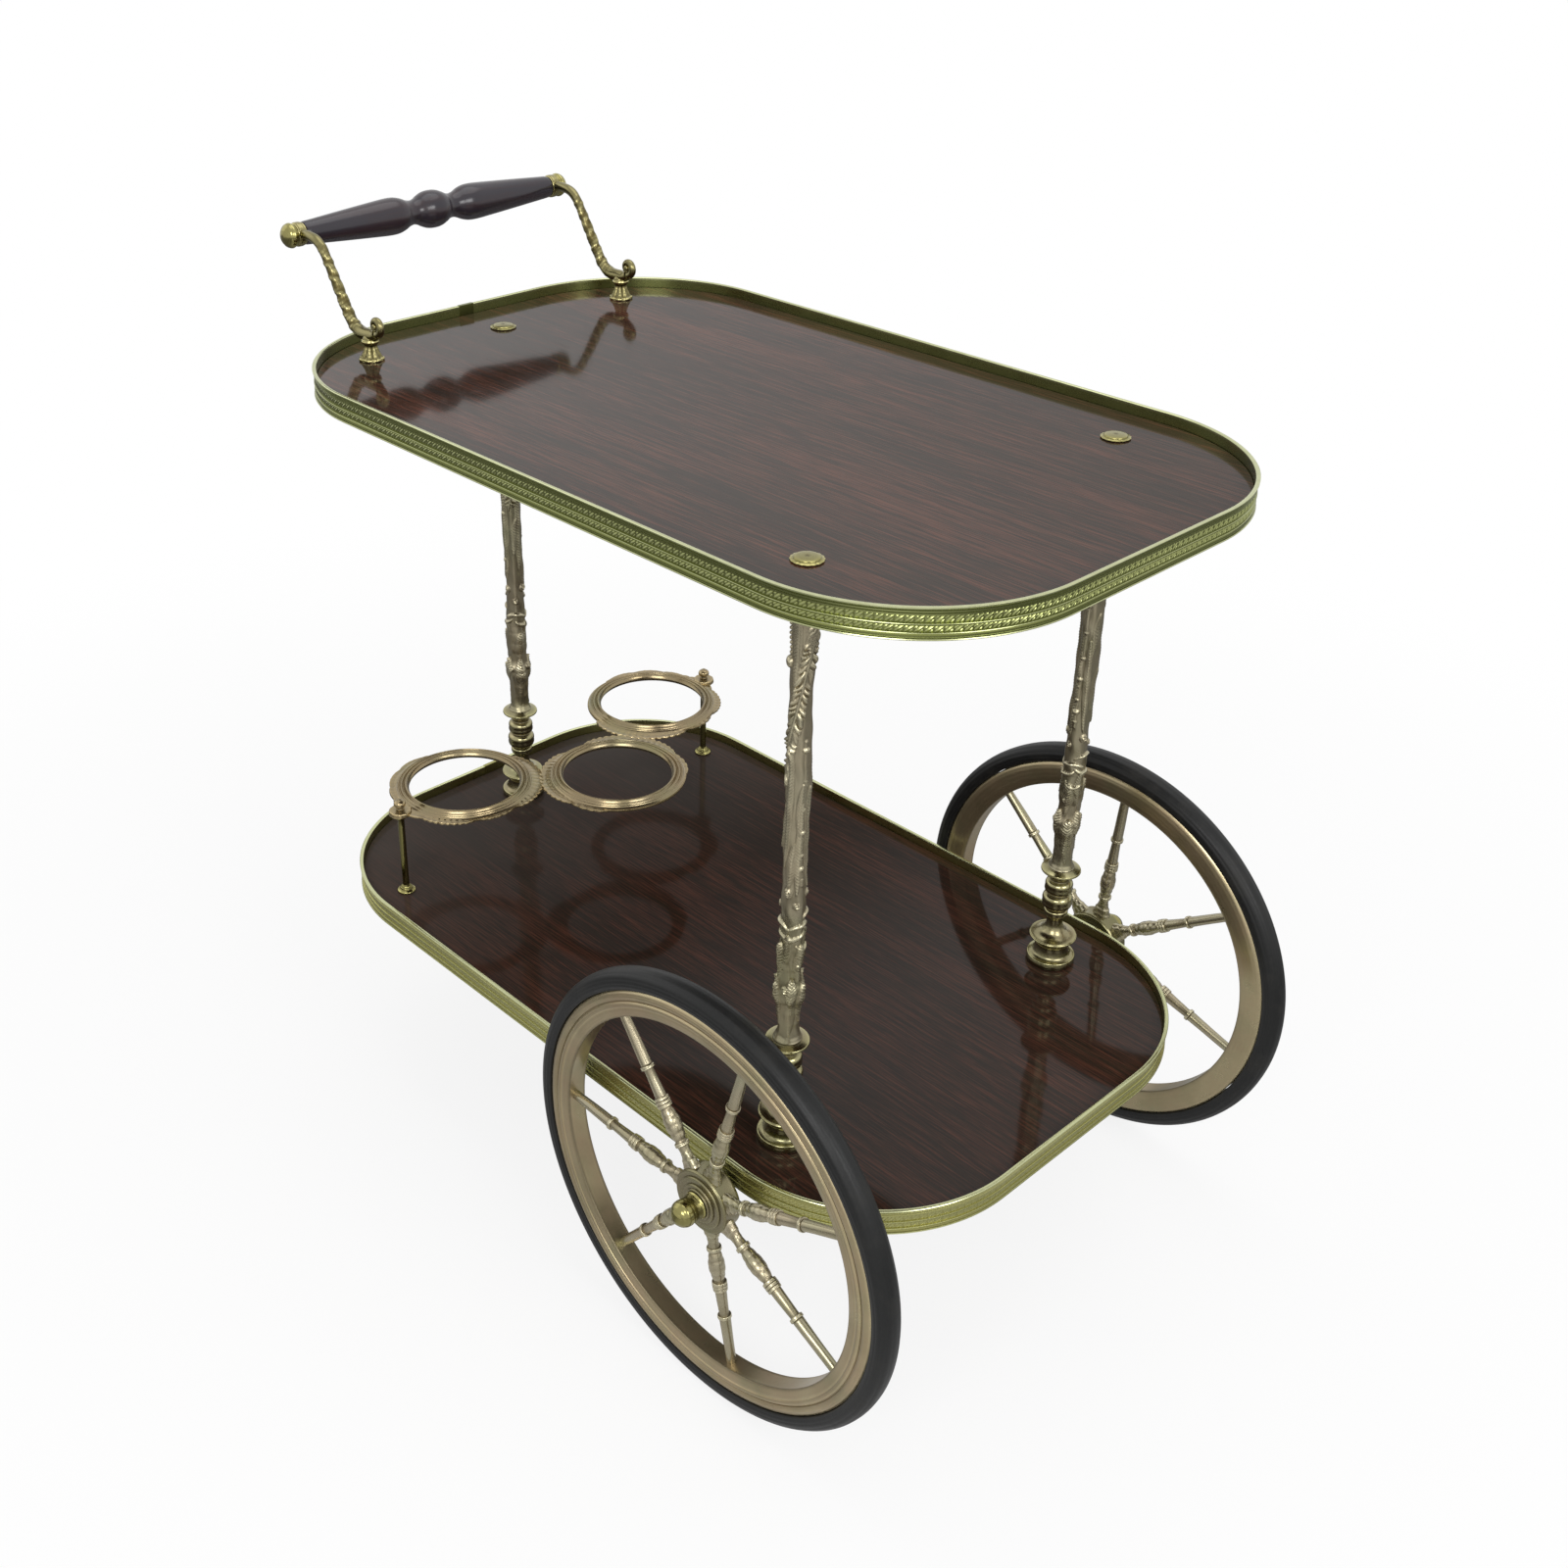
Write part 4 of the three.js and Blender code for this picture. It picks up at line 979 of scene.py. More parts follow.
# Ornament of the columns. Angles are in radians from a column's front, and everything else is in
# millimetres.
COLUMN_RADIUS = 8.0
COLUMN_STEP = 0.62
# The angle that each column's front faces.
COLUMN_TURNS = {"right": -0.82, "left": -2.1, "rear": 0.9}
# Rows of tall leaves: foot, tip, half width, lift, and how many go round.
TALL_LEAVES = (
    (6.0, 36.0, 4.6, 0.8, 4), (16.0, 47.0, 5.6, 1.7, 3), (31.0, 53.0, 4.2, 2.0, 4),
    (49.0, 79.0, 5.6, 1.3, 3), (66.0, 88.0, 4.2, 1.2, 3),
)
# Crescents: height, angle, half span, bow and thickness.
CRESCENTS = (
    (84.0, -0.2, 1.5, 5.0, 2.0), (95.0, 0.9, 1.3, -4.0, 1.5), (96.0, -1.6, 1.4, -5.0, 1.7),
    (86.0, 2.7, 1.6, 5.0, 1.9), (103.0, 2.2, 1.2, -4.0, 1.4), (75.0, 1.2, 0.9, 4.5, 1.2),
)
# Curls above and below the crescents: angle, height and radius.
CURLS = (
    (-0.5, 120.5, 3.8), (1.7, 117.5, 3.4), (3.7, 119.5, 3.8), (0.3, 110.5, 2.6), (-1.6, 108.5, 2.8),
    (2.6, 112.0, 2.6), (-0.3, 44.0, 3.0), (1.9, 41.0, 2.6), (4.0, 43.0, 2.8), (0.6, 63.0, 2.4),
)
FLUTES = 5
# Knotted cords: angle, lowest and highest point, and the heights of the knots.
CORDS = (
    (0.62, 126, 232, (131, 139, 149, 160, 166, 183, 204, 226)),
    (3.6, 130, 250, (136, 147, 152, 171, 190, 197, 219, 241)),
)
KNOT_SIZES = (1.4, 2.1, 1.7)
# Low worn leaves between the cords: angle, foot, half width and lift.
WORN_LEAVES = (
    (-0.5, 124, 4.4, 0.9), (0.1, 168, 3.4, 0.8), (-1.5, 152, 4.2, 0.9), (2.2, 140, 4.4, 0.9),
    (1.5, 186, 3.8, 0.8), (-2.4, 196, 4.2, 0.9), (2.9, 222, 3.6, 0.8), (-0.9, 206, 3.2, 0.7),
)
WORN_LEAF_LENGTH = 34.0
# Lines of beads near the top: angle, lowest and highest point.
BEAD_LINES = ((-1.3, 286, 337), (1.4, 292, 337), (2.9, 250, 337))
# The garland: where it crosses the front, how far it winds to the millimetre, and its leaves' step.
GARLAND_MIDDLE = 266.0
GARLAND_WIND = 0.0262
GARLAND_STEP = 5.2


def dome(distance, half_width):
    """1 in the middle of a round bump, 0 from its edge outwards."""
    return np.sqrt(np.clip(1 - (distance / half_width) ** 2, 0, 1))


def near(value, low, high, soft):
    """1 between two levels, fading to 0 over a soft edge outside them."""
    inside = np.minimum((value - low) / soft + 1, (high - value) / soft + 1)
    t = np.clip(inside, 0, 1)
    return t * t * (3 - 2 * t)


def wrapped(angle):
    return (angle + math.pi) % FULL_TURN - math.pi


def leaf(across, along, half_width, reach):
    """A leaf lying on the surface: its body, a midrib and veins. It runs up from along 0."""
    share = np.clip(along / reach, 0, 1)
    width = half_width * np.sqrt(np.clip(share * 1.9, 0, 1)) * np.sqrt(np.clip(1 - share ** 3, 0, 1))
    inside = np.clip(1 - (np.abs(across) / np.maximum(width, 1e-6)) ** 2, 0, 1)
    body = inside ** 0.45 * ((along > 0) & (along < reach))
    veins = 0.82 + 0.18 * np.cos((along - 0.9 * np.abs(across)) * FULL_TURN / 2.4)
    rib = 0.25 * dome(across, 0.9)
    return body * np.clip(veins + rib, 0, 1.15)


def round_column(angle):
    """How far an angle reaches round a column's surface, in millimetres."""
    return COLUMN_RADIUS * wrapped(angle)


def tall_leaves(height, side):
    for row, (low, high, width, lift, leaves) in enumerate(TALL_LEAVES):
        for number in range(leaves):
            centre = number * FULL_TURN / leaves + row * 0.9 + 0.2 * math.sin(5.0 * number + row)
            across = round_column(side - centre - 0.006 * (height - low))
            tip = 0.6 + 0.85 * np.clip((height - low) / (high - low), 0, 1) ** 3
            yield lift * tip * leaf(across, height - low, width, high - low)


def crescents(height, side):
    """Each is thick in its middle and thin at its horns."""
    for level, centre, span, bow, thick in CRESCENTS:
        away = wrapped(side - centre) / span
        horn = np.clip(1 - away ** 2, 0, 1)
        ridge = dome(height - level - bow * away ** 2, thick * (0.45 + 0.55 * horn) + 0.2)
        yield 1.9 * ridge * horn ** 0.5


def curls(height, side):
    for centre, level, size in CURLS:
        across = round_column(side - centre)
        distance = np.hypot(across, height - level)
        swirl = 0.5 + 0.5 * np.cos(distance * 3.4 - np.arctan2(height - level, across))
        yield 1.7 * dome(distance, size) * (0.5 + 0.5 * swirl)


def flutes(height, side):
    """Long narrow leaves: one rises from the column's waist and one hangs from its top."""
    for number in range(FLUTES):
        centre = number * FULL_TURN / FLUTES + 0.25 + 0.004 * (height - 120) * (-1) ** number
        across = round_column(side - centre)
        yield 1.05 * leaf(across, height - 118 - 5 * number, 4.0, 70 + 6 * number)
        yield 0.9 * leaf(across + 1.5, 336 - height, 3.6, 44 + 8 * number)


def cords(height, side):
    for centre, low, high, levels in CORDS:
        across = round_column(side - centre - 0.08 * np.sin(0.07 * height))
        yield dome(across, 1.5) * 0.8 * near(height, low, high, 1.5)
        for number, level in enumerate(levels):
            size = KNOT_SIZES[number % len(KNOT_SIZES)]
            yield 0.85 * size * dome(np.hypot(across * 0.7, height - level), size)


def worn_leaves(height, side):
    for centre, low, width, lift in WORN_LEAVES:
        across = round_column(side - centre - 0.012 * (height - low))
        yield lift * leaf(across, height - low, width, WORN_LEAF_LENGTH)


def bead_lines(height, side, bead):
    for centre, low, high in BEAD_LINES:
        across = round_column(side - centre)
        along = (height - low) % (2.5 * bead) - 1.25 * bead
        yield 1.5 * dome(np.hypot(across, along), bead) * near(height, low, high, 0.5)


def garland(height, side, leaf_height):
    """It winds down across the front, with leaves left and right of its stalk by turns, and a knob."""
    across = round_column(side - (height - GARLAND_MIDDLE) * GARLAND_WIND) * 0.92
    uneven = height + 1.5 * np.sin(0.19 * height + 1.0) + 0.8 * np.sin(0.47 * height)
    for hand in (-1, 1):
        out = across * hand
        step = (uneven + 1.1 * out + (GARLAND_STEP / 2 if hand > 0 else 0)) % GARLAND_STEP
        upwards = np.clip(1 - ((step - GARLAND_STEP / 2) / 2.2) ** 2, 0, 1)
        body = upwards * np.clip(1 - ((out - 2.8) / 3.1) ** 2, 0, 1)
        size = 0.8 + 0.3 * np.sin(0.31 * uneven + hand)
        rise = leaf_height * size * (0.7 + 0.16 * np.clip(out, 0, 5)) * body ** 0.7
        yield rise * near(height, 200, 312, 5)
    yield dome(across, 0.9) * 1.1 * near(height, 196, 318, 5)
    yield 2.6 * dome(np.hypot(round_column(side + 1.45), height - 284.0), 4.0)


def column_relief(turn, sizes):
    """Cast ornament of a column, as the relief of its turning, with painted shade low between the
    ornaments and on their flanks and a painted highlight on their tops. turn faces its front.
    """

    def relief(height, angle, recess, _):
        side = wrapped(angle - turn)
        raised = np.zeros_like(height)
        for ornament in (
            *tall_leaves(height, side), *crescents(height, side), *curls(height, side),
            *flutes(height, side), *cords(height, side), *worn_leaves(height, side),
            *bead_lines(height, side, sizes.bead_radius / MM),
            *garland(height, side, sizes.garland_proud / MM),
        ):
            raised = np.maximum(raised, ornament)

        # soft flats between the ornaments
        flats = 0.24 * np.cos(6 * side + 0.02 * height) + 0.16 * np.sin(height * 0.33 + 3 * side)
        wobble = 0.35 * np.sin(height * 0.061 + side) + 0.2 * np.sin(height * 0.153 + 2 * side)
        settled = np.clip(height / 6.0, 0, 1)
        raised, flats, wobble = raised * settled, flats * settled, wobble * settled
        # Painted shade and painted highlight from the relief's height and slope.
        top = np.clip(raised / 1.2, 0, 1)
        hollow = np.clip(1 - top, 0, 1) ** 1.6
        edge = np.clip(np.abs(np.gradient(raised, axis=1)) * 1.1, 0, 1)
        deep = np.clip(0.22 * hollow + 0.55 * edge + 0.35 * recess, 0, 1)
        return raised + flats + wobble, deep, np.clip(top - 0.55, 0, 1) * 0.9

    return relief


def scalloped(count, amount, low, high):
    """Scallops round the part of a turning between two heights, with painted shade in their hollows."""

    def relief(height, angle, recess, crest):
        band = near(height, low, high, 0.2)
        wave = np.abs(np.cos(angle * count / 2))
        return amount * wave * band, np.clip(recess + 0.5 * (1 - wave) * band, 0, 1), crest

    return relief


def cast_wobble(amount):
    """The slight unevenness of a casting."""

    def relief(height, angle, recess, crest):
        wave = np.sin(2 * angle + height * 0.11) + 0.7 * np.sin(3 * angle - height * 0.07 + 1.3)
        return amount * wave, recess, crest

    return relief


class BAR_CART_OT_posts(bpy.types.Operator):
    """Turn the feet, cast the columns and seat the caps"""

    bl_idname = "bar_cart.posts"
    bl_label = "Posts"

    def execute(self, context):
        sizes = context.scene.cart_sizes
        for side in POSTS:
            foot, column, cap = (f"post_{part}_{side}" for part in ("foot", "column", "cap"))
            skin = stood(FOOT_OUTLINE, foot, 96, relief=cast_wobble(0.06), depth=2.2)
            dress("turned_foot_" + side, [skin], "antique_brass", "frame", foot, look="foot_brass")
            fine = resampled(COLUMN_OUTLINE, COLUMN_STEP)
            skin = stood(fine, column, 132, relief=column_relief(COLUMN_TURNS[side], sizes))
            dress("cast_column_" + side, [skin], "antique_brass", "frame", column)
            middle, _, _, high = spot(cap)
            skin = turned(CAP_OUTLINE, 96, relief=scalloped(sizes.scallops, *CAP_SCALLOPS))
            seat = shifted(middle.x, middle.y, high.z - CAP_OUTLINE[-1][0] * MM)
            dress("scalloped_cap_" + side, [skin.moved(seat)], "polished_brass", "frame", cap)
            refinish("plain_steel", "tie_rod_" + side)
        refinish("plain_steel", "tie_rod_nut_right", "tie_rod_nut_left")
        return {"FINISHED"}


def resampled(outline, step):
    """An outline cut into even steps of height."""
    heights, radii = drawn(outline).T
    even = np.linspace(heights[0], heights[-1], int((heights[-1] - heights[0]) / step))
    return list(zip(even.tolist(), np.interp(even, heights, radii).tolist()))


# Wheels. Outlines run from the inner face outwards.

RIM_SECTION = [
    (-4.0, 137.0), (-6.6, 136.9, -0.02), (-8.0, 138.0, 0.2), (-8.9, 141.0, 0.06),
    (-9.4, 145.0, 0.05), (-9.5, 149.0, 0.03), (-9.1, 152.6, 0.05), (-8.3, 155.0, 0.06),
    (-7.5, 156.0), (7.5, 156.0), (7.9, 155.5), (9.1, 153.4, 0.08), (9.5, 151.4, 0.1),
    (8.9, 149.8, 0.1), (8.0, 149.0, 0.15), (8.1, 148.6), (9.0, 147.9, 0.15), (9.5, 146.4, 0.15),
    (9.1, 144.9, 0.15), (8.5, 144.3, -0.1), (8.5, 143.6), (8.3, 140.4, 0.04), (7.8, 138.0, 0.05),
    (6.9, 136.9, 0.2), (4.0, 137.0, -0.02),
]
TYRE_SECTION = [
    (-8.2, 156.6), (-9.3, 158.2, 0.2), (-9.7, 161.0, 0.1), (-8.9, 164.6, 0.12), (-6.4, 167.8, 0.12),
    (-2.4, 169.6, 0.1), (2.4, 169.6, 0.06), (6.4, 167.8, 0.1), (8.9, 164.6, 0.12),
    (9.7, 161.0, 0.12), (9.3, 158.2, 0.1), (8.2, 156.6, 0.2),
]
HUB_SECTION = [
    (0, 5.1), (0, 13.2), (0.7, 14.3, 0.3), (2.9, 14.4), (4.2, 17.2, -0.15), (5.0, 21.6, -0.1),
    (6.2, 23.7, 0.25), (8.0, 24.0, 0.1), (19.0, 24.0), (20.6, 23.6, 0.25), (21.2, 22.4, 0.2),
    (21.1, 19.9), (21.1, 19.5), (22.3, 19.1, 0.25), (22.6, 18.3, 0.15), (22.4, 15.2, 0.03),
    (22.4, 14.7), (23.5, 14.3, 0.25), (23.8, 13.6, 0.15), (23.6, 11.8, 0.03), (24.4, 11.4, 0.2),
    (24.65, 10.6, 0.2), (24.65, 5.1),
]
SPOKE_OUTLINE = [
    (19.0, 8.4), (24.0, 7.8), (29.0, 6.2, -0.05), (33.5, 4.4, -0.08), (36.5, 3.8, -0.06),
    (38.9, 4.1), (40.5, 5.1, 0.35), (42.1, 4.1, 0.35), (43.4, 3.8), (49.0, 5.0, 0.07),
    (55.0, 5.8, 0.07), (61.0, 5.1, 0.07), (66.6, 3.9, 0.05), (67.8, 4.1), (69.1, 5.3, 0.4),
    (70.4, 4.3, 0.4), (71.7, 5.3, 0.4), (73.0, 4.3, 0.4), (74.2, 5.1, 0.4), (75.4, 4.1, 0.4),
    (78.0, 4.1), (95.2, 3.4), (96.1, 3.6), (97.5, 4.9, 0.4), (98.9, 3.8, 0.4), (100.2, 4.1, 0.1),
    (118.0, 3.8), (137.0, 3.5),
]
HUB_NUT_OUTLINE = [
    (0, 0), (0, 9.0), (0.5, 9.3, 0.3), (2.5, 8.5, -0.08), (5.0, 8.1, -0.05), (8.0, 8.6, 0.04),
    (11.0, 8.9, 0.06), (14.0, 7.9, 0.08), (16.6, 5.7, 0.08), (18.6, 2.4, 0.08), (19.0, 0.0, 0.1),
]
AXLE_END_OUTLINE = [
    (0, 0), (0, 4.8), (2.5, 4.8), (2.5, 9.4), (2.9, 10.0, 0.3), (4.6, 10.0), (5.0, 9.4, 0.3),
    (5.0, 4.8), (30.0, 4.8), (30.2, 3.0), (43.0, 3.0), (43.0, 0.0),
]
# How far a hub starts behind its wheel's middle, and the share of its node's length that a nut takes.
HUB_BACK = 15 * MM
NUT_SHARE = 0.94
# A spoke's flat root: where it ends, over what length it fades, and how much is taken off it.
ROOT_END = 36.0
ROOT_FADE = 12.0
ROOT_FLAT = 3.9
AXLE_BAR = (20 * MM, 328.8 * MM, 10.4 * MM)
AXLE_EDGE = 1.2 * MM
JOURNAL_START = 160 * MM
JOURNAL_RADIUS = 4.8


def rounded_bar(size, radius, centre):
    """A bar along Y with rounded edges."""
    section = []
    for quarter, (sign_x, sign_z) in enumerate(QUARTERS):
        for step in range(7):
            angle = (quarter + step / 6) * math.pi / 2
            section.append((
                sign_x * (size[0] / 2 - radius) + radius * math.cos(angle),
                sign_z * (size[2] / 2 - radius) + radius * math.sin(angle),
            ))
    section = np.array(section)
    grid = []
    for y, shrink in ((-0.5, 1), (-0.5, 0.3), (-0.5, 0), (0.5, 0), (0.5, 0.3), (0.5, 1)):
        inward = radius * (1 - math.cos(shrink * math.pi / 2))
        scaled = section * (1 - 2 * inward / np.array([size[0], size[2]]))
        place = y * size[1] - math.copysign(radius * (1 - shrink), y)
        grid.append(np.column_stack([scaled[:, 0], np.full(len(scaled), place), scaled[:, 1]]))
    return woven(np.array(grid)).moved(shifted(*centre))


def flat_root(height, angle, recess, crest):
    """A spoke's root is wide in the wheel's plane and flat across it."""
    root = np.clip((ROOT_END - height) / ROOT_FADE, 0, 1)
    flat = -ROOT_FLAT * root * np.sin(angle) ** 2
    uneven = 0.07 * np.sin(2 * angle + height * 0.11) + 0.05 * np.sin(3 * angle - height * 0.17)
    return flat + uneven, recess, crest


def wheel_pieces(side, sizes):
    """Rim, tyre, hub, spokes and ball nut of one wheel."""
    sign = SIDES[side]
    body = "wheel_" + side
    centre = middle_of("wheel_tyre_" + side)
    out = shifted(*centre) @ sideways(sign)
    rim = turned(RIM_SECTION, 288, closed=True, reach=1.8, depth=0.9).moved(out)
    dress("moulded_rim_" + side, [rim], "antique_brass", body, "wheel_rim_" + side, look="wheel_brass")
    tread = turned(TYRE_SECTION, 288, closed=True).moved(out)
    dress("round_tyre_" + side, [tread], "black_rubber", body, "wheel_tyre_" + side)
    hub = turned(HUB_SECTION, 112, closed=True, reach=1.4, depth=2.4, relief=cast_wobble(0.05))
    hub = hub.moved(out @ shifted(0, 0, -HUB_BACK))
    dress("stepped_hub_" + side, [hub], "antique_brass", body, "wheel_hub_" + side, look="hub_brass")
    spoke = turned(SPOKE_OUTLINE, 30, reach=2.0, depth=1.5, relief=flat_root)
    first = math.pi / 2 - (sizes.right_wheel_turn if side == "right" else sizes.left_wheel_turn)
    step = FULL_TURN / sizes.spokes
    spokes = copies("spokes_" + side, spoke, sizes.spokes, first, step, (0, 1, 0), tuple(centre))
    nodes = [f"spoke_{side}_{number + 1}" for number in range(sizes.spokes)]
    dress("turned_spokes_" + side, [spokes], "antique_brass", body, *nodes)
    nut_node = "hub_nut_" + side
    _, nut_size, nut_low, nut_high = spot(nut_node)
    seat = nut_low.y if sign > 0 else nut_high.y
    nut = turned(HUB_NUT_OUTLINE, 72, scale=NUT_SHARE * nut_size.y / HUB_NUT_OUTLINE[-1][0])
    nut = nut.moved(shifted(centre.x, seat, centre.z) @ sideways(sign))
    dress("ball_nut_" + side, [nut], "polished_brass", "frame", nut_node)


class BAR_CART_OT_wheels(bpy.types.Operator):
    """Turn the wheels and the axle"""

    bl_idname = "bar_cart.wheels"
    bl_label = "Wheels"

    def execute(self, context):
        for side in SIDES:
            wheel_pieces(side, context.scene.cart_sizes)
        middle, _, _, high = spot("axle")
        skins = [rounded_bar(AXLE_BAR, AXLE_EDGE, middle)]
        shaft_end = high.y - AXLE_END_OUTLINE[-1][0] * MM
        length = (shaft_end - JOURNAL_START) / MM + 1
        journal = turned([(0, 0), (0, JOURNAL_RADIUS), (length, JOURNAL_RADIUS), (length, 0)], 48)
        end = turned(AXLE_END_OUTLINE, 64)
        for sign in SIDES.values():
            for skin, start in ((end, shaft_end), (journal, JOURNAL_START)):
                skins.append(skin.moved(shifted(middle.x, sign * start, middle.z) @ sideways(sign)))
        dress("forged_axle", skins, "plain_steel", "frame", "axle")
        return {"FINISHED"}


# Castor

SOCKET_SECTION = [
    (0, 5.3), (0, 11.2), (0.8, 13.6, 0.2), (2.6, 14.4, 0.2), (5.2, 14.2, 0.2), (6.6, 12.4, 0.1),
    (8.6, 10.4, -0.1), (12.0, 9.7, -0.06), (20.0, 11.6, -0.05), (28.5, 15.0, -0.03),
    (32.0, 15.4, 0.15), (35.6, 15.2, 0.15), (37.2, 13.8, 0.1), (44.0, 11.4, -0.06),
    (52.0, 10.9, -0.05), (57.0, 12.4, -0.08), (63.0, 18.0, -0.12), (66.6, 22.2, -0.05),
    (67.4, 23.0, 0.2), (70.9, 23.0), (70.9, 3.3), (45.3, 3.3), (45.3, 5.3),
]
FORK_CROWN_OUTLINE = [
    (0, 0), (0, 13.6), (0.7, 14.8, 0.3), (4.6, 15.0, 0.05), (5.5, 14.4, 0.3), (6.0, 13.0, 0.2),
    (6.0, 5.0), (50.4, 5.0), (51.0, 4.2, 0.2), (51.0, 0.0),
]
CASTOR_WHEEL_SECTION = [
    (-9.0, 3.3), (-9.0, 10.6), (-8.3, 11.2, 0.2), (-4.6, 11.8, -0.1), (-2.9, 15.0, -0.2),
    (-2.7, 25.0), (-4.4, 29.2, -0.2), (-7.4, 31.4, -0.1), (-7.8, 32.2), (-7.8, 36.7), (7.8, 36.7),
    (7.8, 32.2), (7.4, 31.4), (4.4, 29.2, -0.1), (2.7, 25.0, -0.2), (2.9, 15.0), (4.6, 11.8, -0.2),
    (8.3, 11.2, -0.1), (9.0, 10.6, 0.2), (9.0, 3.3),
]
CASTOR_TYRE_SECTION = [
    (-7.6, 37.0), (-9.0, 39.2, 0.1), (-8.6, 41.8, 0.1), (-6.0, 44.0, 0.12), (-1.8, 45.0, 0.06),
    (1.8, 45.0), (6.0, 44.0, 0.06), (8.6, 41.8, 0.12), (9.0, 39.2, 0.1), (7.6, 37.0, 0.1),
]
PIN_END_OUTLINE = [
    (0, 0), (0, 3.0), (14.8, 3.0), (14.8, 5.2), (15.2, 5.5, 0.2), (16.4, 5.2, 0.2),
    (17.2, 3.4, 0.15), (17.2, 2.0), (16.8, 1.8), (16.8, 0.0),
]
# A fork leg: the round end's radius and arc, the corners under the crown (millimetres forward of the
# stem and above the leg's top), and across its thickness how far the outline draws in, and where.
LEG_EYE_RADIUS = 8 * MM
LEG_EYE_ARC = (0.93 * math.pi, 1.97 * math.pi)
LEG_TOP = ((9.5, -9.0), (10.6, 0.0), (-8.8, 0.0), (-9.4, -4.0))
LEG_EDGES = ((0.8, 0.0), (0.2, 0.12), (0.0, 0.3), (0.0, 0.7), (0.2, 0.88), (0.8, 1.0))
LEG_STARTS = (11 * MM, -14.5 * MM)
LEG_THICKNESS = 3.5 * MM
LEG_LAP = 2 * MM


def fork_leg(trail, wheel_z, top_z, start):
    """A fork leg: a plate with a round end, tapering down from the crown, with eased edges."""
    arc = np.linspace(*LEG_EYE_ARC, 22)
    eye = np.column_stack([np.cos(arc), np.sin(arc)]) * LEG_EYE_RADIUS + [trail, wheel_z]
    outline = np.concatenate([eye, np.array(LEG_TOP) * MM + [0.0, top_z]])
    inwards = outline.mean(axis=0) - outline
    inwards /= np.linalg.norm(inwards, axis=1)[:, None]
    rows = []
    for inset, share in LEG_EDGES:
        ring = outline + inwards * inset * MM
        place = start + share * LEG_THICKNESS
        rows.append(np.column_stack([ring[:, 0], np.full(len(ring), place), ring[:, 1]]))
    return woven(np.array(rows))


class BAR_CART_OT_castor(bpy.types.Operator):
    """Build the castor under the rear post"""

    bl_idname = "bar_cart.castor"
    bl_label = "Castor"

    def execute(self, context):
        fork, roller = "castor_swivel_fork", "castor_roller"
        socket = stood(SOCKET_SECTION, "castor_socket", 80, closed=True)
        dress("bell_socket", [socket], "antique_brass", "frame", "castor_socket")
        stem_x = middle_of("castor_socket").x
        wheel = middle_of("castor_tyre")
        crown = spot("castor_fork")[3].z - FORK_CROWN_OUTLINE[-1][0] * MM
        skins = [turned(FORK_CROWN_OUTLINE, 72).moved(shifted(stem_x, 0, crown))]
        for start in LEG_STARTS:
            leg = fork_leg(wheel.x - stem_x, wheel.z, crown + LEG_LAP, start)
            skins.append(leg.moved(shifted(stem_x, 0, 0)))
        dress("castor_fork_fine", skins, "antique_brass", fork, "castor_fork")
        pin = turned(PIN_END_OUTLINE, 40)
        pins = [pin.moved(shifted(*wheel) @ sideways(sign)) for sign in (-1, 1)]
        dress("castor_pin_fine", pins, "plain_steel", fork, "castor_pin")
        place = shifted(*wheel) @ sideways(1)
        rim = turned(CASTOR_WHEEL_SECTION, 96, closed=True).moved(place)
        dress("castor_wheel_fine", [rim], "antique_brass", roller, "castor_wheel")
        tread = turned(CASTOR_TYRE_SECTION, 96, closed=True).moved(place)
        dress("castor_tyre_fine", [tread], "black_rubber", roller, "castor_tyre")
        return {"FINISHED"}


# Handle

# Half of the grip's outline from its middle, and its end, in millimetres.
GRIP_HALF = (
    (0.0, 15.1), (5.5, 14.55), (10.5, 12.7), (15.0, 10.5), (19.5, 9.7), (24.5, 10.7), (30.0, 13.0),
    (36.0, 14.45), (44.0, 14.6), (58.0, 13.7), (80.0, 12.1), (102.0, 10.4), (120.0, 9.0),
)
GRIP_END = ((121.6, 8.5), (122.2, 7.4), (122.2, 0.0))
HANDLE_CAP_OUTLINE = [
    (0.0, 0.0), (0.0, 8.1), (0.5, 8.9, 0.2), (1.1, 9.0), (1.4, 8.7), (1.8, 9.5, 0.1),
    (4.3, 9.3, 0.12), (7.2, 7.2, 0.1), (9.2, 3.8, 0.08), (9.8, 0.0, 0.06),
]
EYE_OUTLINE = [
    (-3.85, 0.0), (-3.85, 8.2), (-3.3, 8.9, 0.2), (-2.6, 8.7), (-2.2, 9.2, 0.1), (0.0, 9.35, 0.06),
    (2.2, 9.2, 0.06), (2.6, 8.7, 0.1), (3.3, 8.9), (3.85, 8.2, 0.2), (3.85, 0.0),
]
PEDESTAL_OUTLINE = [
    (0.0, 9.4), (0.4, 10.0, 0.2), (1.5, 9.9, 0.1), (2.1, 8.9, 0.1), (4.6, 7.4, -0.06),
    (8.6, 5.7, -0.05), (11.2, 4.9, -0.05), (12.4, 5.3), (13.6, 6.4, 0.2), (15.2, 6.6, 0.2),
    (16.6, 5.6, 0.2), (19.0, 4.8), (20.4, 0.0),
]
# The arm's line: share of the run back to the grip, of the rise to it, and the rod's radius in mm.
ARM_LINE = (
    (0.98, 1.0, 3.4), (0.93, 1.02, 3.6), (0.84, 1.03, 3.8), (0.71, 1.005, 3.9), (0.625, 0.92, 3.9),
    (0.545, 0.755, 4.0), (0.405, 0.43, 4.2), (0.33, 0.255, 4.4), (0.24, 0.08, 4.8),
    (0.13, 0.0, 5.0), (0.0, 0.0, 4.8), (-0.06, 0.01, 4.3), (-0.1, 0.04, 3.9),
)
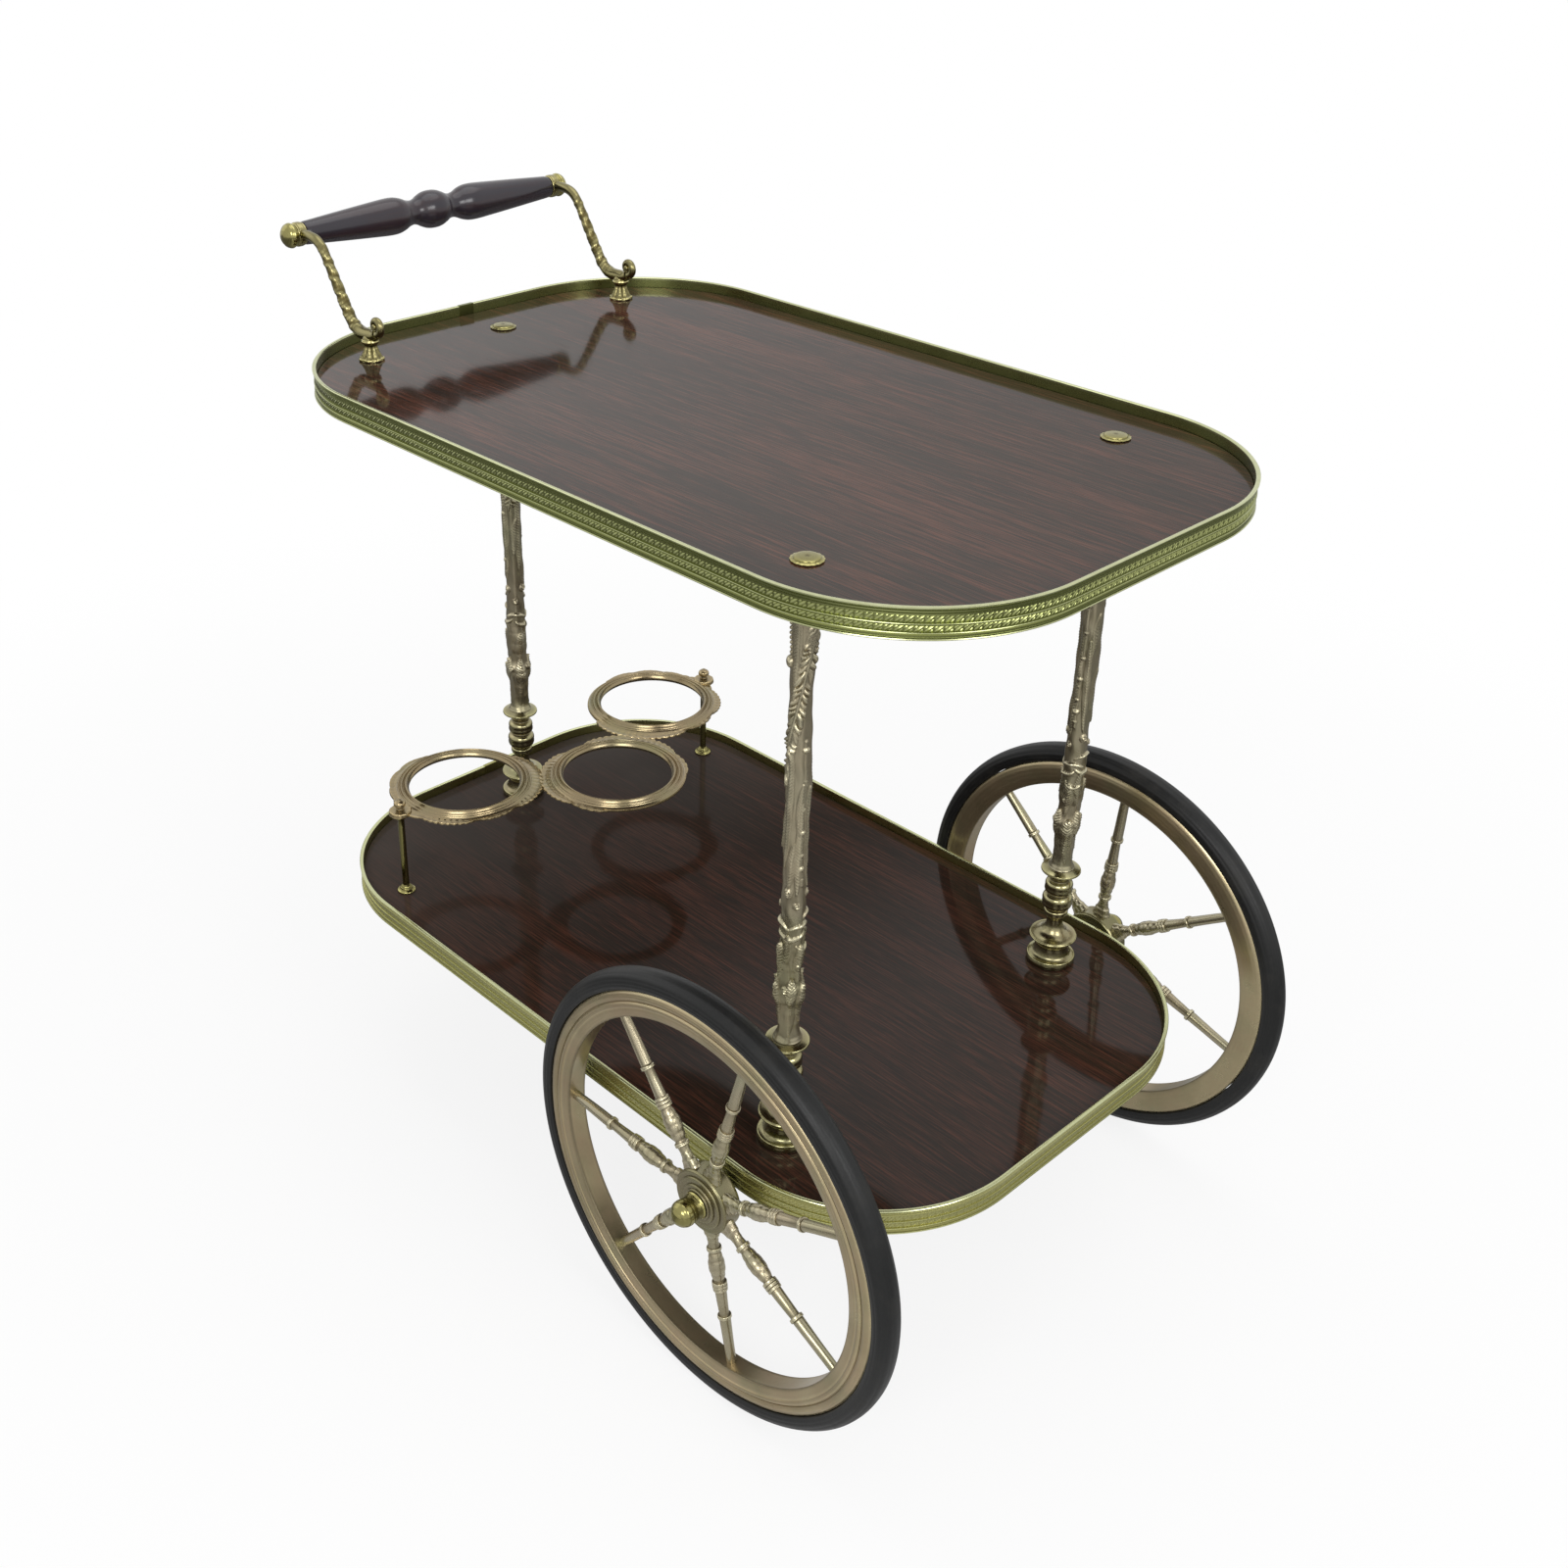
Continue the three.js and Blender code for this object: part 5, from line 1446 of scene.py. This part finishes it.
# The pedestal stands this far over the board, and the arm's knee this far over the pedestal's foot.
PEDESTAL_GAP = 0.3 * MM
KNEE_HEIGHT = 19 * MM
TWIST_PITCH = 10.5 * MM
KNOT_PITCH = 3.4 * MM
PEDESTAL_LOBES = 7
# The scroll behind the pedestal: its centre from the arm's end, its turn, and how its curl and its rod
# get smaller, in millimetres.
SCROLL_CENTRE = (0.8, 0.0, 6.2)
SCROLL_TURN = 3.6 * math.pi / 1.35
SCROLL_RADII = (6.3, 1.9)
SCROLL_ROD_RADII = (3.2, 1.8)
SCROLL_STEPS = 60
SCROLL_HUB_OUTLINE = [(-3.2, 0), (-3.2, 1.6), (-2.6, 2.2, 0.2), (2.6, 2.2), (3.2, 1.6, 0.2), (3.2, 0)]


def smooth_line(points, steps):
    """A smooth line through points, in so many steps to each stretch."""
    points = np.asarray(points, float)
    padded = np.vstack([2 * points[0] - points[1], points, 2 * points[-1] - points[-2]])
    line = []
    for i in range(1, len(padded) - 2):
        a, b, c, d = padded[i - 1:i + 3]
        for step in range(steps):
            t = step / steps
            line.append(0.5 * (
                2 * b + (c - a) * t + (2 * a - 5 * b + 4 * c - d) * t ** 2
                + (3 * b - a - 3 * c + d) * t ** 3
            ))
    return np.array(line + [padded[-2]])


def swept(line, radii, sides, relief=None):
    """A rod along a line in the XZ plane. A relief adds to its radius and shades it."""
    ahead = np.gradient(line, axis=0)
    ahead /= np.linalg.norm(ahead, axis=1)[:, None]
    across = np.column_stack([-ahead[:, 2], np.zeros(len(line)), ahead[:, 0]])
    level = np.tile([0.0, 1.0, 0.0], (len(line), 1))
    angles = np.arange(sides) * FULL_TURN / sides
    thick = np.repeat(np.asarray(radii)[:, None], sides, axis=1)
    recess, crest = None, None
    if relief is not None:
        along = np.concatenate([[0], np.cumsum(np.linalg.norm(np.diff(line, axis=0), axis=1))])
        added, recess, crest = relief(along[:, None], angles[None, :])
        thick = thick + added
    grid = (
        line[:, None, :]
        + across[:, None, :] * (thick * np.cos(angles))[..., None]
        + level[:, None, :] * (thick * np.sin(angles))[..., None]
    )
    return woven(grid, recess, crest)


def lobes(height, angle, recess, crest):
    """The leafy skirt of a pedestal, with painted shade between its lobes."""
    skirt = near(height, 0.5, 11.0, 1.0)
    wave = np.abs(np.cos(angle * PEDESTAL_LOBES / 2))
    return 1.5 * skirt * (wave - 1), np.clip(recess + 0.6 * skirt * (1 - wave) ** 2, 0, 1), crest


def scroll_skins(start):
    """The curl that ends an arm behind its pedestal, with a small hub in its eye."""
    centre = start + np.array(SCROLL_CENTRE) * MM
    radius = np.linspace(*SCROLL_RADII, SCROLL_STEPS) * MM
    angle = np.linspace(0, SCROLL_TURN, SCROLL_STEPS) - math.pi / 2
    line = np.column_stack([
        centre[0] + radius * np.cos(angle), np.full(SCROLL_STEPS, centre[1]),
        centre[2] + radius * np.sin(angle),
    ])
    rod = swept(line, np.linspace(*SCROLL_ROD_RADII, SCROLL_STEPS) * MM, 18)
    hub = turned(SCROLL_HUB_OUTLINE, 32)
    return [rod, hub.moved(shifted(*centre) @ sideways(1))]


def arm_skins(side, sizes):
    """Eye, twisted rod, leafy pedestal and scroll of one arm."""
    sign = SIDES[side]
    arm = middle_of("handle_arm_" + side)
    grip = middle_of("handle_grip")
    pedestal = middle_of("handle_arm_nut_" + side)
    seat = spot("upper_tray_board")[3].z + PEDESTAL_GAP
    knee = seat + KNEE_HEIGHT
    run, rise = grip.x - pedestal.x, grip.z - knee
    control = [(along * run, up * rise, radius * MM) for along, up, radius in ARM_LINE]
    path = smooth_line(control, 12)
    line = np.column_stack([pedestal.x + path[:, 0], np.full(len(path), arm.y), knee + path[:, 1]])
    total = np.linalg.norm(np.diff(line, axis=0), axis=1).sum()

    def twist(along, angle):
        share = along / total
        fade = np.clip((share - 0.22) / 0.12, 0, 1) * np.clip((0.84 - share) / 0.08, 0, 1)
        wind = sign * along * FULL_TURN / TWIST_PITCH
        wave = np.cos(2 * angle + wind + 0.9 * np.sin(along * 480))
        knots = np.cos(along * FULL_TURN / KNOT_PITCH + 2.2 * np.sin(angle + 1))
        added = sizes.twist_proud * fade * (0.75 * wave + 0.3 * knots * (0.6 + 0.4 * wave) - 0.3)
        # Painted shade in the twist's hollows and a painted highlight on its ridges.
        hollow = fade * np.clip(0.55 - 0.5 * wave - 0.35 * knots, 0, 1)
        return added, hollow, fade * np.clip(0.7 * wave + 0.4 * knots - 0.35, 0, 1)

    rod = swept(line, path[:, 2], 28, twist)
    eye = turned(EYE_OUTLINE, 64).moved(shifted(grip.x, arm.y, grip.z) @ sideways(sign))
    base = turned(PEDESTAL_OUTLINE, 72, relief=lobes).moved(shifted(pedestal.x, arm.y, seat))
    return [rod, eye, base, *scroll_skins(line[-1])]


class BAR_CART_OT_handle(bpy.types.Operator):
    """Turn the grip and cast the arms of the push handle"""

    bl_idname = "bar_cart.handle"
    bl_label = "Handle"

    def execute(self, context):
        grip, size, _, _ = spot("handle_grip")
        mirrored = [(-along, radius) for along, radius in GRIP_HALF[:0:-1]]
        near_end = [(-along, radius) for along, radius in GRIP_END[::-1]]
        line = [tuple(point) for point in smooth_line(mirrored + list(GRIP_HALF), 8)]
        outline = near_end + line + list(GRIP_END)
        skin = turned(outline, 96, scale=size.y / (2 * GRIP_END[-1][0]))
        skin = skin.moved(shifted(*grip) @ sideways(1))
        dress("turned_grip", [skin], "dark_grip_wood", "frame", "handle_grip")
        for side, sign in SIDES.items():
            skins = arm_skins(side, context.scene.cart_sizes)
            node = "handle_arm_" + side
            dress("cast_arm_" + side, skins, "polished_brass", "frame", node, look="arm_brass")
            node = "handle_cap_" + side
            middle, cap_size, low, high = spot(node)
            seat = low.y if sign > 0 else high.y
            cap = turned(HANDLE_CAP_OUTLINE, 64, scale=cap_size.y / HANDLE_CAP_OUTLINE[-1][0])
            cap = cap.moved(shifted(middle.x, seat, middle.z) @ sideways(sign))
            dress("ball_cap_" + side, [cap], "polished_brass", "frame", node)
            refinish("plain_steel", "handle_arm_nut_" + side)
        refinish("plain_steel", "handle_rod")
        return {"FINISHED"}


# Bottle holder

RING_SECTION = [
    (0.1, 47.4), (1.2, 46.7, 0.1), (2.6, 46.5), (5.7, 48.1, 0.05), (6.35, 48.8, 0.2),
    (6.1, 49.7, 0.2), (3.7, 51.1, 0.05), (3.6, 51.5), (4.8, 52.3, 0.05), (5.05, 52.9, 0.2),
    (4.8, 53.5, 0.2), (3.5, 54.3, 0.05), (3.4, 54.7), (4.1, 55.4, 0.1), (4.1, 56.1, 0.2),
    (2.4, 58.0, 0.08), (1.6, 58.3, 0.1), (0.1, 58.3),
]
# Stretches of a ring's border that swell into leaves, in degrees from +X: the middle of the stretch,
# half its width, how far it stands out in millimetres, and how many lobes would go all the way round.
SIDE_BORDER = (
    (-54.8, 44.0, 8.6, 66), (53.0, 24.0, 5.0, 74), (90.0, 22.0, 6.5, 24), (143.0, 42.0, 5.5, 14),
    (8.0, 15.0, 2.5, 58),
)
MIDDLE_BORDER = (
    (125.2, 44.0, 8.6, 66), (-125.2, 44.0, 8.6, 66), (66.0, 18.0, 3.0, 46), (-66.0, 18.0, 3.0, 46),
)
# Across the border: share of the way out, height in millimetres, how much painted shade and how much
# painted highlight.
BORDER_SECTION = (
    (0.0, 0.2, 0, 0), (0.9, 0.2, 0, 0), (1.0, 0.8, 0, 0.3), (0.995, 1.7, 0, 0.7), (0.95, 2.3, 0, 0.6),
    (0.82, 2.2, 0.05, 0), (0.62, 1.9, 0.15, 0), (0.45, 2.3, 0, 0.15), (0.2, 3.0, 0.05, 0),
    (0.0, 3.1, 0.1, 0),
)
LUG_OUTLINE = [(0, 0), (0.1, 8.4), (0.8, 9.0, 0.2), (3.4, 8.8, 0.05), (4.2, 7.6, 0.2), (4.2, 0)]
LUG_LOBES = 10
STEM_FROM_RING = 65.7 * MM
MIDDLE_RING_FORWARD = 75 * MM
BORDER_INNER = 55.0
BORDER_OUTER = 58.8
BORDER_SIDES = 420
BORDER_RIBS = 75
STEM_OUTLINE = [
    (0, 0), (0, 2.8), (9.3, 2.8), (9.3, 6.9), (9.6, 7.5, 0.3), (10.6, 7.4, 0.2), (11.4, 6.0),
    (12.0, 5.2, -0.1), (13.4, 4.4, 0.2), (14.8, 3.4, 0.1), (15.4, 2.8), (80.3, 2.8),
    (81.3, 4.2, -0.1), (82.2, 4.9, 0.1), (84.6, 4.9, 0.1), (85.3, 4.4), (85.3, 2.0), (94.2, 2.0),
    (94.2, 0.0),
]
FINIAL_OUTLINE = [
    (0, 0), (0, 3.1), (0.5, 3.6, 0.2), (1.1, 3.4), (1.5, 2.6, -0.2), (2.0, 2.7, -0.1),
    (3.2, 4.3, 0.12), (5.4, 4.9, 0.12), (7.6, 3.9, 0.12), (8.5, 2.3, 0.05), (8.9, 1.9, -0.1),
    (9.2, 1.5, 0.2), (9.4, 0.0, 0.2),
]


def border_skin(stretches, hand):
    """The flat border round a ring, which swells into scalloped leaves. hand mirrors it across X."""
    angles = np.arange(BORDER_SIDES) * FULL_TURN / BORDER_SIDES
    outer = np.full(BORDER_SIDES, BORDER_OUTER)
    rib = np.zeros(BORDER_SIDES)
    for middle, half, proud, lobe_count in stretches:
        away = np.degrees(wrapped(angles - hand * math.radians(middle))) / half
        swell = np.clip(1 - away ** 2, 0, 1) ** 0.55
        lobe = np.abs(np.cos(lobe_count * hand * angles / 2 + middle)) ** 0.7
        reach = BORDER_OUTER + swell * (proud * (0.8 + 0.2 * lobe) - 0.4 * (1 - lobe))
        rib = np.where(reach > outer, swell * (lobe - 0.5), rib)
        outer = np.maximum(outer, reach)
    fine = np.cos(angles * BORDER_RIBS) * np.clip((outer - BORDER_OUTER) / 4, 0, 1)
    rows, recess, crest = [], [], []
    for share, height, deep, high in BORDER_SECTION:
        radius = BORDER_INNER + (outer - BORDER_INNER) * share
        up = height * (1 + (0.22 * rib + 0.03 * fine) * share * (height > 1))
        rows.append(np.column_stack([radius * np.cos(angles), radius * np.sin(angles), up]) * MM)
        # Painted shade and painted highlight follow the leaves' lobes.
        recess.append(np.clip(deep - share * (0.35 * rib + 0.1 * fine), 0, 1))
        crest.append(np.clip(high + share * (0.5 * rib + 0.1 * fine), 0, 1))
    return woven(np.array(rows), np.array(recess), np.array(crest), closed=True)


class BAR_CART_OT_bottle_holder(bpy.types.Operator):
    """Cast the three bottle rings, their leaves, stems and finials"""

    bl_idname = "bar_cart.bottle_holder"
    bl_label = "Bottle Holder"

    def execute(self, context):
        bottom = spot("bottle_holder")[2].z
        stem = middle_of("holder_stem_left")
        side_y = stem.y - STEM_FROM_RING
        rings = [(stem.x + MIDDLE_RING_FORWARD, 0.0, 1, MIDDLE_BORDER)]
        lug = turned(LUG_OUTLINE, 48, relief=scalloped(LUG_LOBES, 0.5, 0, LUG_OUTLINE[-1][0]))
        skins = []
        for sign in SIDES.values():
            rings.append((stem.x, sign * side_y, sign, SIDE_BORDER))
            skins.append(lug.moved(shifted(stem.x, sign * stem.y, bottom)))
        ring = turned(RING_SECTION, 200, closed=True, reach=0.8, depth=0.7)
        for x, y, hand, border in rings:
            skins += [part.moved(shifted(x, y, bottom)) for part in (ring, border_skin(border, hand))]
        dress(
            "cast_bottle_rings", skins, "antique_brass", "frame", "bottle_holder", look="ring_brass"
        )
        for side in SIDES:
            node = "holder_stem_" + side
            skin = stood(STEM_OUTLINE, node, 48)
            dress("turned_stem_" + side, [skin], "polished_brass", "frame", node)
            node = "holder_finial_" + side
            skin = stood(FINIAL_OUTLINE, node, 56)
            dress(
                "turned_finial_" + side, [skin], "polished_brass", "frame", node, look="ring_brass"
            )
        return {"FINISHED"}


# Stage

LAMP_TARGET = (0.0, 0.0, 0.35)
# Lamps: name, place, width, height of an upright window, and the setting of its power.
LAMPS = (
    ("left_window", (1.22, -1.95, 1.75), 1.15, 0.95, "window_power"),
    ("right_window", (2.29, -0.2, 1.75), 1.15, 0.95, "window_power"),
    ("fill_lamp", (-2.2, -1.0, 1.7), 1.8, None, "fill_power"),
    ("top_lamp", (-0.3, 0.5, 2.9), 2.2, None, "top_power"),
)
SENSOR_WIDTH = 36.0
REFLECTION_CARD_SIDES = 64
# Lighter places of the painted reflection card, each a centre and a reach: towards the windows, and
# under the cart.
REFLECTION_CARD_GLEAM = ((1.0, -1.05), 1.15)
REFLECTION_CARD_UNDER = ((0.2, -0.15), 1.05)
UNDER_SHARE = 0.5
# The floor is lit out to the first distance, and plain white after the second one past it.
FLOOR_LIT = 0.55
FLOOR_FADE = 0.9


def soft_lamp(name, place, width, height, power):
    """A round lamp, or an upright window where a height is given."""
    lamp = bpy.data.lights.new(name, "AREA")
    lamp.shape = "RECTANGLE" if height else "DISK"
    lamp.size = width
    if height:
        lamp.size_y = height
    lamp.energy = power
    holder = bpy.data.objects.new(name, lamp)
    bpy.context.scene.collection.objects.link(holder)
    holder.location = place
    holder.rotation_mode = "QUATERNION"
    holder.rotation_quaternion = (Vector(LAMP_TARGET) - Vector(place)).to_track_quat("-Z", "Y")


def seen_directly(graph):
    """1 where a camera, glossy or transmission ray arrives."""
    paths = graph.add("ShaderNodeLightPath").socket.node.outputs
    camera, glossy, transmission = (
        Wire(graph, paths[f"Is {ray} Ray"]) for ray in ("Camera", "Glossy", "Transmission")
    )
    return camera.at_least(glossy).at_least(transmission)


def distance_from(graph, centre):
    """How far a place on the floor is from a centre."""
    settings, inputs = {"operation": "DISTANCE"}, {0: graph.place, 1: (*centre, 0.0)}
    return graph.add("ShaderNodeVectorMath", settings, inputs, output="Value")


def faded(graph, centre, radius):
    """1 at a place on the floor, fading smoothly to 0 at a radius from it."""
    near_share = (1.0 - distance_from(graph, centre) / radius).clamped()
    return near_share * near_share * (3.0 - 2.0 * near_share)


def reflection_card_finish(studio):
    """A painted reflection: grey that shines by itself, lighter towards the windows and under the cart,
    and white far off.
    """
    graph = Finish("rug_grey")
    level = studio.reflection_card_level + studio.reflection_card_gleam * faded(graph, *REFLECTION_CARD_GLEAM)
    level = level + UNDER_SHARE * faded(graph, *REFLECTION_CARD_UNDER)
    far = 1.0 - faded(graph, (0.0, 0.0), studio.reflection_card_radius)
    share = (level + (1.0 - level) * (far * far)).clamped()
    shade = graph.mixed(share, (0.0, 0.0, 0.0), (1.0, 1.0, 1.0))
    grey = graph.add("ShaderNodeEmission", {}, {"Color": shade, "Strength": 1.0})
    graph.add("ShaderNodeOutputMaterial", {}, {"Surface": grey})
    return graph.material


def floor_finish(studio):
    """A pale floor: lit near the cart, so that it keeps the shadow, and plain white further off."""
    graph = Finish("pale_floor")
    far = ((distance_from(graph, (0.0, 0.0)) - FLOOR_LIT) / FLOOR_FADE).clamped()
    glow = studio.floor_glow + (1.0 - studio.floor_glow) * (far * far * (3.0 - 2.0 * far))
    share = seen_directly(graph) * glow
    colour = bpy.context.scene.cart_colours.floor
    matt = graph.add("ShaderNodeBsdfDiffuse", {}, {"Color": opaque(colour)})
    white = graph.add("ShaderNodeEmission", {}, {"Color": WHITE, "Strength": 1.0})
    mixed = graph.add("ShaderNodeMixShader", {}, {0: share, 1: matt, 2: white})
    graph.add("ShaderNodeOutputMaterial", {}, {"Surface": mixed})
    return graph.material


def flat_piece(name, corners, material):
    """A flat piece of the stage."""
    mesh = bpy.data.meshes.new(name)
    mesh.from_pydata(corners, [], [tuple(range(len(corners)))])
    mesh.materials.append(material)
    piece = new_object(name, mesh)
    return piece


class BAR_CART_OT_stage(bpy.types.Operator):
    """Set the floor, the lamps, the surroundings and the camera"""

    bl_idname = "bar_cart.stage"
    bl_label = "Stage"

    def execute(self, context):
        scene = context.scene
        studio = scene.cart_studio
        scene.view_settings.view_transform = "Standard"
        half = studio.floor_size / 2
        corners = [(-half, -half, 0), (half, -half, 0), (half, half, 0), (-half, half, 0)]
        flat_piece("studio_floor", corners, floor_finish(studio))
        self.surround(scene, studio)
        for name, place, width, height, power in LAMPS:
            soft_lamp(name, place, width, height, getattr(studio, power))
        self.lay_reflection_card(studio)
        self.place_camera(scene, studio)
        return {"FINISHED"}

    @staticmethod
    def surround(scene, studio):
        """Soft light that grows upwards, and plain white where the camera or gloss sees it."""
        world = bpy.data.worlds.new("studio_surroundings")
        world.use_nodes = True
        scene.world = world
        graph = Graph(world.node_tree)
        direction = graph.add("ShaderNodeTexCoord")
        up = graph.add("ShaderNodeSeparateXYZ", {}, {"Vector": direction}, output="Z").at_least(0.0)
        level = studio.sky_low + (studio.sky_high - studio.sky_low) * (up * up)
        even = graph.add("ShaderNodeBackground", {}, {"Color": WHITE, "Strength": level})
        white = graph.add("ShaderNodeBackground", {}, {"Color": WHITE, "Strength": 1.0})
        sky = graph.add("ShaderNodeMixShader", {}, {0: seen_directly(graph), 1: even, 2: white})
        graph.add("ShaderNodeOutputWorld", {}, {"Surface": sky})

    @staticmethod
    def lay_reflection_card(studio):
        """A grey disc under the cart that glows by itself and that only reflections show: painted dark
        surroundings for the metal and the lacquer to reflect.
        """
        ring = [
            (studio.reflection_card_radius * math.cos(a), studio.reflection_card_radius * math.sin(a), MM)
            for a in np.linspace(0, FULL_TURN, REFLECTION_CARD_SIDES, endpoint=False)
        ]
        reflection_card = flat_piece("reflected_rug", ring, reflection_card_finish(studio))
        reflection_card.visible_camera = False
        reflection_card.visible_diffuse = False
        reflection_card.visible_shadow = False
        reflection_card.visible_transmission = False

    @staticmethod
    def place_camera(scene, studio):
        data = bpy.data.cameras.new("photo_camera")
        data.sensor_width = SENSOR_WIDTH
        data.lens = studio.focal
        data.shift_x = studio.shift_x
        data.shift_y = studio.shift_y
        camera = bpy.data.objects.new("photo_camera", data)
        scene.collection.objects.link(camera)
        camera.location = studio.camera_place
        a, e = studio.azimuth, studio.elevation
        back = Vector((math.sin(a) * math.cos(e), -math.cos(a) * math.cos(e), math.sin(e)))
        camera.rotation_mode = "QUATERNION"
        lean = Matrix.Rotation(studio.roll, 4, "Z").to_quaternion()
        camera.rotation_quaternion = (-back).to_track_quat("-Z", "Y") @ lean
        scene.camera = camera


class BAR_CART_PT_panel(bpy.types.Panel):
    """Lists the steps of the dressing and their values"""

    bl_idname = "BAR_CART_PT_panel"
    bl_label = "Bar Cart"
    bl_space_type = "VIEW_3D"
    bl_region_type = "UI"
    bl_category = "Bar Cart"

    def draw(self, context):
        for operator in OPERATORS:
            self.layout.operator(operator.bl_idname)
        for group in (context.scene.cart_sizes, context.scene.cart_colours, context.scene.cart_studio):
            box = self.layout.box()
            for name in group.bl_rna.properties.keys():
                if name not in ("rna_type", "name"):
                    box.prop(group, name)


OPERATORS = (
    BAR_CART_OT_boards, BAR_CART_OT_galleries, BAR_CART_OT_posts, BAR_CART_OT_wheels,
    BAR_CART_OT_castor, BAR_CART_OT_handle, BAR_CART_OT_bottle_holder, BAR_CART_OT_stage,
)
STEPS = ("boards", "galleries", "posts", "wheels", "castor", "handle", "bottle_holder", "stage")
CLASSES = (CartColours, CartSizes, CartStudio, *OPERATORS, BAR_CART_PT_panel)


def register():
    for cls in CLASSES:
        bpy.utils.register_class(cls)
    bpy.types.Scene.cart_colours = bpy.props.PointerProperty(type=CartColours)
    bpy.types.Scene.cart_sizes = bpy.props.PointerProperty(type=CartSizes)
    bpy.types.Scene.cart_studio = bpy.props.PointerProperty(type=CartStudio)


def unregister():
    del bpy.types.Scene.cart_colours
    del bpy.types.Scene.cart_sizes
    del bpy.types.Scene.cart_studio
    for cls in reversed(CLASSES):
        bpy.utils.unregister_class(cls)


def main():
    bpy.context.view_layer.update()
    register()
    for step in STEPS:
        getattr(bpy.ops.bar_cart, step)()


if __name__ == "__main__":
    main()
